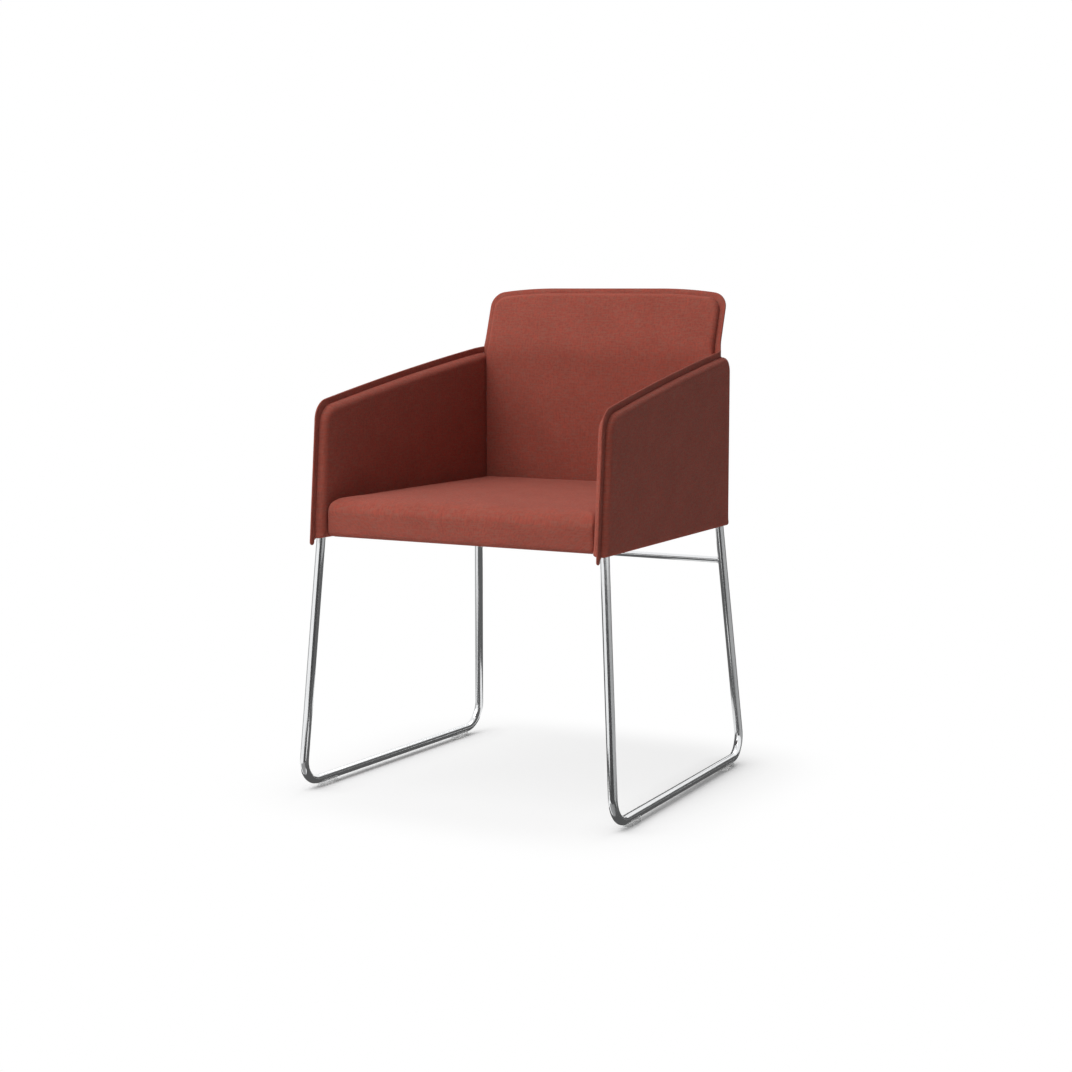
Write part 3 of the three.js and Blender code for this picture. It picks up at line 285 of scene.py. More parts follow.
def band(first: Sequence[int], second: Sequence[int]) -> Faces:
    """The faces between two closed rows of points."""
    pairs = zip(first, second, [*first[1:], first[0]], [*second[1:], second[0]])
    return [(c, a, b, d) for a, b, c, d in pairs]


def rod_skin(path: Sequence[Vector], radius: float, sides: int, dome: float = 0.0) -> Skin:
    """A round rod along a path, with slightly domed ends.

    Args:
        path: the points of its middle line.
        radius: its radius.
        sides: how many faces it has round it.
        dome: how far its ends are rounded.

    Returns:
        The rod's closed skin.
    """
    beside = zip([path[0], *path], [*path[1:], path[-1]])
    headings = [(after - before).normalized() for before, after in beside]
    normal = headings[0].orthogonal().normalized()
    rings: list[tuple[Vector, Vector, Vector, float, float]] = []
    for i, (point, heading, run) in enumerate(zip(path, headings, run_lengths(path))):
        if i:
            normal = headings[i - 1].rotation_difference(heading) @ normal
        rings.append((point, normal.copy(), heading.cross(normal), radius, run))
    first, last = rings[0], rings[-1]
    for share in (0.4, 0.8) if dome else ():
        width = radius - dome * (1 - math.sqrt(1 - share**2))
        rings.insert(0, (first[0] - headings[0] * dome * share, first[1], first[2], width, first[4]))
        rings.append((last[0] + headings[-1] * dome * share, last[1], last[2], width, last[4]))
    points, cloth = [], []
    for point, across, up, width, along in rings:
        for angle in [2 * math.pi * n / sides for n in range(sides + 1)]:
            points.append(point + (across * math.cos(angle) + up * math.sin(angle)) * width)
            cloth.append((angle * radius, along))
    faces = grid_faces(len(rings), sides + 1)
    faces.append(tuple(range(sides - 1, -1, -1)))
    faces.append(tuple((len(rings) - 1) * (sides + 1) + n for n in range(sides)))
    return Skin(np.array([tuple(p) for p in points]), faces, np.array(cloth))


def loop_skin(loops: Sequence[Sequence[Vector]], cloth: Sequence[Sequence[tuple[float, float]]]) -> Skin:
    """Closed loops of equal count joined end to end, with capped ends.

    Args:
        loops: the loops, each a list of points.
        cloth: the lengths along the surface, for each point of each loop.

    Returns:
        The closed skin.
    """
    count = len(loops[0])
    points = np.array([tuple(p) for loop in loops for p in loop])
    faces: Faces = []
    for i in range(len(loops) - 1):
        for n in range(count):
            m = (n + 1) % count
            faces.append((i * count + n, i * count + m, (i + 1) * count + m, (i + 1) * count + n))
    faces.append(tuple(range(count - 1, -1, -1)))
    faces.append(tuple((len(loops) - 1) * count + n for n in range(count)))
    return Skin(points, faces, np.array([pair for loop in cloth for pair in loop]))


def space_of(*nodes: str) -> Piece:
    """A cutter in the shape of CAD nodes, grown by the fit's gap.

    Args:
        nodes: the CAD nodes.

    Returns:
        The cutter, which is removed after use.
    """
    grown = bmesh.new()
    for node in nodes:
        grown.from_mesh(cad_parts[node].data)
    bmesh.ops.remove_doubles(grown, verts=grown.verts, dist=WELD)
    grown.normal_update()
    moves = [(v, v.normal * FIT_GAP * v.calc_shell_factor()) for v in grown.verts]
    for vertex, move in moves:
        vertex.co += move
    mesh = bpy.data.meshes.new("space")
    grown.to_mesh(mesh)
    grown.free()
    return linked("space", mesh)


def carve(piece: Piece, cutters: Sequence[Piece]) -> None:
    """Cuts a piece by cutters one after another, down to a plain mesh.

    Args:
        piece: the piece.
        cutters: closed objects.
    """
    for cutter in cutters:
        modifier = piece.modifiers.new("space", "BOOLEAN")
        modifier.operation = "DIFFERENCE"
        modifier.solver = "MANIFOLD"
        modifier.object = cutter
    applied(piece)
    finish_mesh(piece.data)


def discard(cutters: Sequence[Piece]) -> None:
    """Removes cutters and their meshes.

    Args:
        cutters: the cutters.
    """
    for cutter in cutters:
        mesh = cutter.data
        bpy.data.objects.remove(cutter)
        bpy.data.meshes.remove(mesh)


# Shader and geometry node trees


class Nodes:
    """A node tree with short ways to add and join nodes."""

    def __init__(self, tree: Tree) -> None:
        """Takes the tree to build in."""
        self.tree = tree

    def add(self, kind: str, inputs: Inputs | None = None, **settings: object) -> bpy.types.Node:
        """Adds a node.

        Args:
            kind: the node's type.
            inputs: what its inputs are set to or linked to, by name or number.
            settings: its properties.

        Returns:
            The node.
        """
        node = self.tree.nodes.new(kind)
        for name, value in settings.items():
            setattr(node, name, value)
        self.feed(node, inputs or {})
        return node

    def feed(self, node: bpy.types.Node, inputs: Inputs) -> None:
        """Sets a node's inputs to values, or links them to sockets.

        Args:
            node: the node.
            inputs: the values and sockets, by the inputs' names or numbers.
        """
        for key, value in inputs.items():
            if isinstance(value, Socket):
                self.tree.links.new(value, node.inputs[key])
            else:
                node.inputs[key].default_value = value

    def math(self, operation: str, *values: object) -> Socket:
        """A Math node's result, with its inputs set or linked in order."""
        return self.add("ShaderNodeMath", dict(enumerate(values)), operation=operation).outputs[0]

    def noise(self, vector: object, scale: object, detail: float = 2.0, rough: float = 0.5) -> Socket:
        """A Noise Texture's value at a vector."""
        inputs = {"Vector": vector, "Scale": scale, "Detail": detail, "Roughness": rough}
        return self.add("ShaderNodeTexNoise", inputs).outputs["Fac"]

    def stretched(self, vector: object, scale: Point) -> Socket:
        """A vector scaled differently along each axis."""
        return self.add("ShaderNodeMapping", {"Vector": vector, "Scale": scale}).outputs["Vector"]

    def ranged(self, value: object, *ends: float) -> Socket:
        """A value moved from one range to another, clamped: low, high, new low, new high."""
        return self.add("ShaderNodeMapRange", dict(enumerate((value, *ends)))).outputs[0]

    def mixed(self, share: object, first: object, second: object) -> Socket:
        """Two colours mixed by a share."""
        return self.add("ShaderNodeMix", {0: share, 6: first, 7: second}, data_type="RGBA").outputs[2]

    def placed(self, group: Tree, **values: object) -> bpy.types.Node:
        """A node group placed in the tree, with its inputs set or linked by name."""
        return self.add("ShaderNodeGroup", values, node_tree=group)

    def object_place(self) -> Socket:
        """The object coordinates."""
        return self.add("ShaderNodeTexCoord").outputs["Object"]

    def surface_lengths(self) -> Socket:
        """The lengths along a piece's own surface."""
        return self.add("ShaderNodeUVMap", uv_map="cloth").outputs[0]


class EffectNodes(Nodes):
    """The nodes of a new shader group, which gives only colours, heights and masks."""

    def __init__(self, name: str, inputs: dict[str, object], outputs: dict[str, str]) -> None:
        """Makes the group with its sockets.

        Args:
            name: the group's name.
            inputs: each input's first value: a number, a colour, or None for a vector.
            outputs: each output's kind.
        """
        super().__init__(bpy.data.node_groups.new(name, "ShaderNodeTree"))
        face = self.tree.interface
        for label, value in inputs.items():
            kind = {float: "Float", tuple: "Color"}.get(type(value), "Vector")
            socket = face.new_socket(label, in_out="INPUT", socket_type="NodeSocket" + kind)
            if value is not None:
                socket.default_value = value
        for label, kind in outputs.items():
            face.new_socket(label, in_out="OUTPUT", socket_type="NodeSocket" + kind)
        self.given = self.add("NodeGroupInput").outputs

    def give(self, **results: Socket) -> Tree:
        """Joins values to the group's outputs by name, and hands the group back."""
        self.add("NodeGroupOutput", results)
        return self.tree


class Effects:
    """The effects that several finishes share, each built once."""

    def __init__(self) -> None:
        """Builds each node group."""
        self.weave = self.build_weave()
        self.melange = self.build_melange()
        self.marks = self.build_marks()
        self.grain = self.build_grain()

    @staticmethod
    def build_weave() -> Tree:
        """A plain weave's height, from lengths along the cloth: warp and weft take turns to lie on top.

        Returns:
            The node group.
        """
        inputs = {"Lengths": None, "Thread": 0.001, "Fuzz": 0.3}
        nodes = EffectNodes("plain weave", inputs, {"Height": "Float"})
        lengths = nodes.given["Lengths"]
        split = nodes.add("ShaderNodeSeparateXYZ", {0: lengths})
        waver = nodes.math("MULTIPLY", nodes.noise(lengths, 60.0, 1.0), 0.6)
        crossings = []
        for axis in ("X", "Y"):
            count = nodes.math("DIVIDE", split.outputs[axis], nodes.given["Thread"])
            crossings.append(nodes.math("ADD", count, waver))
        cells = [nodes.math("FLOOR", c) for c in crossings]
        over = nodes.math("PINGPONG", nodes.math("ADD", *cells), 1.0)
        threads = []
        for crossing, share in zip(crossings, (over, nodes.math("SUBTRACT", 1.0, over))):
            wave = nodes.math("SINE", nodes.math("MULTIPLY", crossing, math.pi))
            hump = nodes.math("POWER", nodes.math("ABSOLUTE", wave), 0.6)
            threads.append(nodes.math("MULTIPLY", hump, share))
        hair = nodes.math("MULTIPLY", nodes.noise(lengths, 2600.0, 3.0, 0.7), nodes.given["Fuzz"])
        return nodes.give(Height=nodes.math("ADD", nodes.math("ADD", *threads), hair))

    @staticmethod
    def build_melange() -> Tree:
        """Yarns of mixed colour: long flecks along both threads, and soft clouds.

        Returns:
            The node group.
        """
        names = ("Base", "Red", "Grey", "Dark")
        inputs = {"Lengths": None, **dict.fromkeys(names, neutral(0.5)), "Strength": 1.0}
        nodes = EffectNodes("melange yarn", inputs, {"Color": "Color"})
        lengths = nodes.given["Lengths"]
        warp = nodes.noise(nodes.stretched(lengths, (370.0, 70.0, 1.0)), 1.0, 3.0, 0.7)
        weft = nodes.noise(nodes.stretched(lengths, (62.0, 400.0, 1.0)), 1.0, 3.0, 0.7)
        clouds = nodes.noise(lengths, 260.0, 3.0, 0.6)
        tone = nodes.given["Base"]
        flecks = ((warp, 0.44, 0.58, 1.0), (weft, 0.46, 0.6, 0.95), (clouds, 0.48, 0.66, 0.6))
        for name, (pattern, low, high, most) in zip(names[1:], flecks):
            spots = nodes.ranged(pattern, low, high, 0.0, most)
            share = nodes.math("MULTIPLY", spots, nodes.given["Strength"])
            tone = nodes.mixed(share, tone, nodes.given[name])
        drift = nodes.ranged(nodes.noise(lengths, 17.0), 0.3, 0.7, 0.95, 1.05)
        lifted = nodes.add("ShaderNodeVectorMath", {0: tone, "Scale": drift}, operation="SCALE")
        return nodes.give(Color=lifted.outputs[0])

    @staticmethod
    def build_marks() -> Tree:
        """Handling marks on metal and plastic: soft smears and fine scratches in the roughness.

        Returns:
            The node group.
        """
        inputs = {"Place": None, "Scale": 20.0, "Smooth": 0.1, "Rough": 0.2}
        nodes = EffectNodes("handling marks", inputs, {"Roughness": "Float", "Smear": "Float"})
        place, smooth = nodes.given["Place"], nodes.given["Smooth"]
        smear = nodes.noise(place, nodes.given["Scale"], 4.0, 0.6)
        fine = nodes.noise(nodes.stretched(place, (900.0, 900.0, 60.0)), 1.0, 2.0, 0.7)
        blend = nodes.math("ADD", nodes.math("MULTIPLY", smear, 0.75), nodes.math("MULTIPLY", fine, 0.25))
        reach = nodes.ranged(blend, 0.35, 0.65, 0.0, 1.0)
        span = nodes.math("SUBTRACT", nodes.given["Rough"], smooth)
        return nodes.give(Roughness=nodes.math("MULTIPLY_ADD", reach, span, smooth), Smear=reach)

    @staticmethod
    def build_grain() -> Tree:
        """Wood grain along X, in plies along Z.

        Returns:
            The node group.
        """
        inputs = {"Place": None, "Light": (0.7, 0.5, 0.3, 1.0), "Dark": (0.4, 0.25, 0.12, 1.0), "Ply": 0.001}
        nodes = EffectNodes("ply grain", inputs, {"Color": "Color", "Height": "Float"})
        place = nodes.given["Place"]
        figure = nodes.noise(nodes.stretched(place, (6.0, 90.0, 20.0)), 1.0, 5.0, 0.6)
        pores = nodes.noise(nodes.stretched(place, (60.0, 1800.0, 900.0)), 1.0, 2.0, 0.6)
        split = nodes.add("ShaderNodeSeparateXYZ", {0: place})
        count = nodes.math("DIVIDE", split.outputs["Z"], nodes.given["Ply"])
        ply = nodes.math("MULTIPLY", nodes.math("PINGPONG", nodes.math("FLOOR", count), 1.0), 0.2)
        shade = nodes.math("ADD", nodes.ranged(figure, 0.35, 0.65, 0.0, 0.7), ply)
        return nodes.give(Color=nodes.mixed(shade, nodes.given["Light"], nodes.given["Dark"]), Height=pores)


# Finishes


def neutral(value: float) -> Colour:
    """A grey of a brightness."""
    return (value, value, value, 1.0)


def shaded(colour: Colour, share: float) -> Colour:
    """A colour made darker or lighter by a share."""
    return (*[share * c for c in colour[:3]], 1.0)


def fresh_material(name: str) -> tuple[Material, Nodes, bpy.types.Node]:
    """A material with one Principled shader.

    Args:
        name: the material's name.

    Returns:
        The material, its nodes and the shader.
    """
    material = bpy.data.materials.new(name)
    material.use_nodes = True
    nodes = Nodes(material.node_tree)
    return material, nodes, nodes.tree.nodes["Principled BSDF"]


@dataclass(frozen=True)
class Finish:
    """A surface: its colours and roughness, and a bump.

    Args:
        name: the material's name.
        depth: how deep the bump is.
        strength: the bump's share.
    """

    name: str
    depth: float = 0.0002
    strength: float = 0.5

    def look(self, nodes: Nodes, effects: Effects) -> Look:
        """The shader's inputs by name and the bump's height, from the finish's own nodes."""
        raise NotImplementedError

    def material(self, effects: Effects) -> Material:
        """Builds the material.

        Args:
            effects: the shared effects.

        Returns:
            The material.
        """
        material, nodes, shader = fresh_material(self.name)
        inputs, height = self.look(nodes, effects)
        relief = {"Height": height, "Distance": self.depth, "Strength": self.strength}
        bump = nodes.add("ShaderNodeBump", relief)
        nodes.feed(shader, {**inputs, "Normal": bump.outputs[0]})
        return material


@dataclass(frozen=True)
class MelangeWool(Finish):
    """The upholstery: a fulled melange wool in brick red."""

    name: str = "melange wool"
    depth: float = 0.0005
    strength: float = 0.8
    base: Colour = (0.377, 0.085, 0.06, 1.0)
    red: Colour = (0.485, 0.096, 0.063, 1.0)
    grey: Colour = (0.33, 0.128, 0.093, 1.0)
    dark: Colour = (0.21, 0.057, 0.045, 1.0)
    mixing: float = 0.62
    # How much painted highlight the lit shoulders and fin edges get.
    painted_highlight_share: float = 0.16
    thread: float = 0.0015

    def look(self, nodes: Nodes, effects: Effects) -> Look:
        """Mixed yarns, with painted shade between the threads and a painted highlight, lighter and redder, on
        the pads' shoulders and the fins' edges.

        Args:
            nodes: the material's nodes.
            effects: the shared effects.

        Returns:
            The shader's inputs by name, and the bump's height.
        """
        lengths = nodes.surface_lengths()
        yarns = {"Base": self.base, "Red": self.red, "Grey": self.grey, "Dark": self.dark}
        yarn = nodes.placed(effects.melange, Lengths=lengths, Strength=self.mixing, **yarns)
        weave = nodes.placed(effects.weave, Lengths=lengths, Thread=self.thread, Fuzz=0.5)
        height = weave.outputs["Height"]
        # A painted highlight: this mask lightens the cloth towards red where the pads' shoulders and the
        # fins' free edges catch the light.
        painted_highlight = nodes.add("ShaderNodeAttribute", attribute_name="painted_highlight").outputs["Fac"]
        # Painted shade: the cloth turns darker where the weave's height is low, between the threads.
        tone = nodes.mixed(nodes.ranged(height, 0.0, 0.8, 0.4, 0.0), yarn.outputs["Color"], self.dark)
        inputs = {
            "Base Color": nodes.mixed(nodes.math("MULTIPLY", painted_highlight, self.painted_highlight_share), tone, self.red),
            "Roughness": 0.92,
            "Specular IOR Level": 0.15,
            "Sheen Weight": 0.08,
            "Sheen Roughness": 0.5,
            "Sheen Tint": (0.85, 0.7, 0.62, 1.0),
        }
        return inputs, height


@dataclass(frozen=True)
class SewingThread(Finish):
    """The seams' thread, in the cloth's own colour."""

    name: str = "sewing thread"
    depth: float = 0.0001
    colour: Colour = (0.25, 0.06, 0.042, 1.0)
    light: float = 1.5
    twist: float = 900.0

    def look(self, nodes: Nodes, effects: Effects) -> Look:
        """Plies a little lighter than the thread.

        Args:
            nodes: the material's nodes.
            effects: the shared effects; not used.

        Returns:
            The shader's inputs by name, and the bump's height.
        """
        plied = nodes.noise(nodes.object_place(), self.twist, 1.0)
        tone = nodes.mixed(plied, self.colour, shaded(self.colour, self.light))
        return {"Base Color": tone, "Roughness": 0.7}, plied


@dataclass(frozen=True)
class HandledMetal(Finish):
    """A plated or primed metal with handling marks.

    Args:
        colour: its colour.
        smooth: its roughness where it is clean.
        rough: its roughness where it is smeared.
        smeared: its colour where it is smeared, or None for a little darker.
        metallic: its share of metal.
        scale: how fine the smears are.
        ripple: how fine its bump is.
        detail: the bump's detail.
    """

    colour: Colour = neutral(0.8)
    smooth: float = 0.1
    rough: float = 0.2
    smeared: Colour | None = None
    metallic: float = 1.0
    scale: float = 14.0
    ripple: float = 420.0
    detail: float = 2.0

    def look(self, nodes: Nodes, effects: Effects) -> Look:
        """Smears in colour and roughness.

        Args:
            nodes: the material's nodes.
            effects: the shared effects.

        Returns:
            The shader's inputs by name, and the bump's height.
        """
        place = nodes.object_place()
        range_of = {"Smooth": self.smooth, "Rough": self.rough}
        marks = nodes.placed(effects.marks, Place=place, Scale=self.scale, **range_of)
        smeared = self.smeared or shaded(self.colour, 0.93)
        inputs = {
            "Base Color": nodes.mixed(marks.outputs["Smear"], self.colour, smeared),
            "Roughness": marks.outputs["Roughness"],
            "Metallic": self.metallic,
        }
        return inputs, nodes.noise(place, self.ripple, self.detail)


@dataclass(frozen=True)
class ClearPlastic(Finish):
    """The glides' clear plastic."""

    name: str = "clear plastic"
    depth: float = 0.0001
    strength: float = 0.3

    def look(self, nodes: Nodes, effects: Effects) -> Look:
        """Thin clear plastic with marks in its roughness.

        Args:
            nodes: the material's nodes.
            effects: the shared effects.

        Returns:
            The shader's inputs by name, and the bump's height.
        """
        place = nodes.object_place()
        marks = nodes.placed(effects.marks, Place=place, Scale=120.0, Smooth=0.03, Rough=0.12)
        inputs = {
            "Base Color": (0.97, 0.98, 0.98, 1.0),
            "Roughness": marks.outputs["Roughness"],
            "Alpha": 0.3,
            "IOR": 1.45,
        }
        return inputs, nodes.noise(place, 300.0)


@dataclass(frozen=True)
class BarePly(Finish):
    """The seat board's plywood."""

    name: str = "bare plywood"
    ply: float = 0.0015

    def look(self, nodes: Nodes, effects: Effects) -> Look:
        """Grain in plies."""
        grain = nodes.placed(effects.grain, Place=nodes.object_place(), Ply=self.ply)
        return {"Base Color": grain.outputs["Color"], "Roughness": 0.7}, grain.outputs["Height"]


@dataclass(frozen=True)
class BlackCloth(Finish):
    """The dust cover's black non-woven cloth."""

    name: str = "black non-woven cloth"
    dark: Colour = (0.008, 0.008, 0.009, 1.0)
    light: Colour = (0.03, 0.03, 0.032, 1.0)
    pitch: float = 0.0022

    def look(self, nodes: Nodes, effects: Effects) -> Look:
        """Loose fibres with pressed dots.

        Args:
            nodes: the material's nodes.
            effects: the shared effects.

        Returns:
            The shader's inputs by name, and the bump's height.
        """
        lengths = nodes.surface_lengths()
        dots = nodes.placed(effects.weave, Lengths=lengths, Thread=self.pitch, Fuzz=0.8)
        tone = nodes.mixed(nodes.noise(lengths, 900.0, 4.0, 0.7), self.dark, self.light)
        return {"Base Color": tone, "Roughness": 0.85}, dots.outputs["Height"]


# Upholstery forms


@dataclass
class PadOutline:
    """A four-sided outline with rounded corners, and how a pad fills it.

    Args:
        left: the left side's place at a height.
        right: the right side's place at a height.
        low: the lower side's place.
        high: the upper side's place.
        radii: corner radii, in the order low left, low right, high left, high right.
        turns: how far in the surface turns over at a height, in the order left, right, low, high.
        straight_to: the share of the height up to which the rows stay straight.
    """

    left: Callable[[Array], Array]
    right: Callable[[Array], Array]
    low: Callable[[Array], Array]
    high: Callable[[Array], Array]
    radii: tuple[float, float, float, float]
    turns: Callable[[Array], tuple]
    straight_to: float = 0.0

    def at(self, across: Array, up: Array) -> tuple[Array, Array]:
        """Finds points by their shares, a step at a time, since the sides lean and curve.

        Args:
            across: shares across.
            up: shares up.

        Returns:
            The points' two lengths.
        """
        zero = np.zeros_like(across)
        u = zero
        v = zero + (self.low(zero) + self.high(zero)) / 2
        follow = np.maximum(up - self.straight_to, 0) / (1 - self.straight_to)
        for _ in range(8):
            u = self.left(v) * (1 - across) + self.right(v) * across
            limit = self.high(u)
            if self.straight_to:
                limit = self.high(zero) * (1 - follow) + limit * follow
            v = self.low(u) * (1 - up) + limit * up
        return u, v

    def room(self, u: Array, v: Array) -> list[Array]:
        """How far points lie from the left, right, low and high sides."""
        return [u - self.left(v), self.right(v) - u, v - self.low(u), self.high(u) - v]

    def depth(self, u: Array, v: Array) -> Array:
        """How far points lie inside the rounded outline.

        Args:
            u: the points' lengths across.
            v: the points' lengths up.

        Returns:
            The depths, below nought outside it.
        """
        room = self.room(u, v)
        least = np.minimum.reduce(room)
        for radius, (a, b) in zip(self.radii, ((0, 2), (1, 2), (0, 3), (1, 3))):
            inside = (room[a] < radius) & (room[b] < radius)
            rounded = radius - np.hypot(radius - room[a], radius - room[b])
            least = np.where(inside, np.minimum(least, rounded), least)
        return least

    def fullness(self, u: Array, v: Array) -> Array:
        """The share of its full thickness that the pad has at points.

        Args:
            u: the points' lengths across.
            v: the points' lengths up.

        Returns:
            The shares, round over each side's own turn.
        """
        weights = [1 / (np.maximum(r, 0) + 0.001) ** 3 for r in self.room(u, v)]
        turn = sum(w * t for w, t in zip(weights, self.turns(v))) / sum(weights)
        share = np.clip(self.depth(u, v) / turn, 0, 1)
        return np.sqrt(1 - (1 - share) ** 2)

    def crown(self, u: Array, v: Array) -> Array:
        """How much of the crown points have.

        Args:
            u: the points' lengths across.
            v: the points' lengths up.

        Returns:
            The shares: all of it in the middle, none at the sides.
        """
        room = self.room(u, v)
        across, up = room[0] / (room[0] + room[1]), room[2] / (room[2] + room[3])
        return 16 * across * (1 - across) * up * (1 - up)

    def painted_highlight(self, u: Array, v: Array, turn: float) -> Array:
        """How much painted highlight the cloth gets: most on the shoulder beside the seam."""
        return np.exp(-(((self.depth(u, v) - 0.45 * turn) / (0.4 * turn)) ** 2))

    def grid(self, rows: Array, columns: Array) -> tuple[Array, Array]:
        """A grid of points that fills the rounded outline.

        Args:
            rows: shares up.
            columns: shares across.

        Returns:
            The points' two lengths, each a table of rows by columns.
        """
        ends = []
        for side in (0.0, 1.0):
            out = np.full_like(rows, side)
            inside = np.full_like(rows, 0.5)
            for _ in range(HALVINGS):
                middle = (out + inside) / 2
                free = self.depth(*self.at(middle, rows)) > -EDGE_SLACK
                inside = np.where(free, middle, inside)
                out = np.where(free, out, middle)
            clear = self.depth(*self.at(np.full_like(rows, side), rows)) > -EDGE_SLACK
            ends.append(np.where(clear, side, inside))
        across = ends[0][:, None] * (1 - columns)[None, :] + ends[1][:, None] * columns[None, :]
        up = np.repeat(rows[:, None], len(columns), axis=1)
        return self.at(across, up)

    def skin(self, u: Array, v: Array, faces: Sequence[Array], place: Places, turn: float) -> Skin:
        """A closed pad over a grid.

        Args:
            u: the grid's lengths across.
            v: the grid's lengths up.
            faces: the upper face's heights, and the lower face's inside the outline, where the two meet.
            place: gives the points' places.
            turn: how wide its shoulder with the painted highlight is.

        Returns:
            The pad's skin.
        """
        points = np.concatenate([place(u, v, height).reshape(-1, 3) for height in faces])
        shared = np.arange(2 * u.size)
        on_edge = np.ones(u.shape, bool)
        on_edge[1:-1, 1:-1] = False
        shared[u.size :][on_edge.ravel()] -= u.size
        above = grid_faces(*u.shape)
        below = [tuple(int(shared[i]) for i in reversed(face)) for face in grid_faces(*u.shape, u.size)]
        lengths = np.stack([u, v], axis=-1).reshape(-1, 2)
        # A painted highlight on the upper face's shoulder; the lower face gets none.
        painted_highlight_share = np.concatenate([self.painted_highlight(u, v, turn).ravel(), np.zeros(u.size)])
        return Skin(points, above + below, np.concatenate([lengths, lengths]), {"painted_highlight": painted_highlight_share})


def graded(length: float, near: float, far: float, step: float) -> Array:
    """Shares of a length, close together over a run at each end.

    Args:
        length: the whole length.
        near: the run at its start.
        far: the run at its end.
        step: the spacing between the runs.

    Returns:
        The shares, from 0 to 1.
    """
    ends = []
    for run in (near, far):
        count = max(6, round(2.2 * run / step))
        ends.append(run * (1 - np.cos(np.linspace(0, math.pi / 2, count + 1)[:-1])))
    middle = np.linspace(near, length - far, max(2, round((length - near - far) / step)) + 1)
    return np.concatenate([ends[0], middle, (length - ends[1])[::-1]]) / length


@dataclass(frozen=True)
class ArmForm:
    """The upright plane of an arm panel, and the outline of its fin."""

    spread: float = 0.2358
    toe: float = math.atan(0.04)
    underside: float = 0.4025
    underside_fall: float = 0.004
    corner_reach: float = 0.2513
    corner_height: float = 0.6125
    corner_radius: float = 0.034
    front_lean: float = math.atan(0.0865)
    top_reach: float = 0.24
    top_height: float = 0.688
    top_arch: float = 0.004
    back_reach: float = 0.2293
    plate: float = 0.003
    corner_steps: int = 20

    @cached_property
    def shift(self) -> float:
        """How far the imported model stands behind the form's own middle."""
        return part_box("back_plate")[0].y + self.plate / 2 - self.back_reach

    @property
    def pad_face(self) -> float:
        """How far a pad's inner face stands from the panel's middle plane."""
        return self.plate / 2 + FIT_GAP

    def face_at(self, offset: float, along: float) -> float:
        """How far a face at an offset stands from the chair's middle, at a place along the arm."""
        return self.spread + offset / math.cos(self.toe) - along * math.tan(self.toe)

    def place(self, out: Array, along: Array, up: Array) -> Array:
        """Points of the left arm.

        Args:
            out: lengths out from its middle plane.
            along: lengths along it, towards the back.
            up: heights.

        Returns:
            The points' places in the chair's frame.
        """
        cos, sin = math.cos(self.toe), math.sin(self.toe)
        x = out * cos - along * sin + self.spread
        y = out * sin + along * cos + self.shift
        return np.stack(np.broadcast_arrays(x, y, up), axis=-1)

    def front_at(self, height: Array) -> Array:
        """The fin's front edge at a height."""
        return -self.corner_reach + (height - self.corner_height) * math.tan(self.front_lean)

    def top_at(self, along: Array) -> Array:
        """The fin's top edge.

        Args:
            along: the place along the edge.

        Returns:
            The height there.
        """
        share = (along + self.corner_reach) / (self.top_reach + self.corner_reach)
        rise = self.corner_height + (self.top_height - self.corner_height) * share
        return rise + self.top_arch * 4 * share * (1 - share)

    def edge(self, inset: float, reach: float, steps: int, sweep_run: float) -> list[Vector]:
        """The fin's edge from its foot to a reach at the rear, moved inwards by an inset.

        Args:
            inset: how far inside the free edge the line runs.
            reach: where it ends at the rear.
            steps: into how many stretches the top is cut.
            sweep_run: the length of the last, finer run.

        Returns:
            The line's points, in along and up.
        """
        foot = Vector((float(self.front_at(self.underside)), self.underside))
        corner = Vector((-self.corner_reach, self.corner_height))
        span = reach - sweep_run + self.corner_reach
        places = [span * (i + 1) / steps for i in range(steps)]
        places += [span + sweep_run * (i + 1) / steps for i in range(steps)]
        top = [Vector((p - self.corner_reach, float(self.top_at(p - self.corner_reach)))) for p in places]
        arc = rounded_corner(foot, corner, top[0], self.corner_radius, self.corner_steps)
        line = inset_line([foot, *arc, *top], inset)
        back = (self.underside - line[0].y) * math.tan(self.front_lean)
        line[0] = Vector((line[0].x + back, self.underside))
        before, last = line[-2:]
        rise = (last.y - before.y) / (last.x - before.x)
        line[-1] = Vector((reach, before.y + (reach - before.x) * rise))
        return line

    def outline(self, reach: float, fin: float, turns: tuple, rear: float, foot: float) -> PadOutline:
        """The outline of a pad on the arm panel.

        Args:
            reach: where its rear side stands.
            fin: how much of the fin shows outside it.
            turns: how far in its surface turns over, in the outline's order.
            rear: the radius of its upper rear corner.
            foot: the radius of its lower corners.

        Returns:
            The outline.
        """
        width = reach + self.corner_reach
        return PadOutline(
            left=lambda v: self.front_at(v) + fin,
            right=lambda v: reach + 0 * v,
            low=lambda u: self.underside - self.underside_fall * (u + self.corner_reach) / width,
            high=lambda u: self.top_at(u) - fin,
            radii=(foot, foot, self.corner_radius - fin, rear),
            turns=lambda v: turns,
        )


@dataclass(frozen=True)
class PadEdges:
    """What the arms' and the back's pads share: their feet, their butt joints and their grid's step."""

    foot_radius: float = 0.005
    foot_turn: float = 0.004
    foot_run: float = 0.008
    butt_turn: float = 0.002
    step: float = 0.0042


def make_pad(skin: Skin, node: str, finish: Material, cutters: Sequence[Piece], side: Side) -> None:
    """Makes one pad, cut by what lies in it.

    Args:
        skin: its skin, on the left or in the middle.
        node: the CAD node's name.
        finish: its cloth.
        cutters: what the skin is cut by.
        side: the side on which the cut pad stands.
    """
    piece = skin.piece("cloth_" + node, finish)
    carve(piece, cutters)
    if side is Side.RIGHT:
        piece.data.transform(Matrix.Scale(-1, 4, Vector((1, 0, 0))))
        piece.data.flip_normals()
    settle(piece, [node])


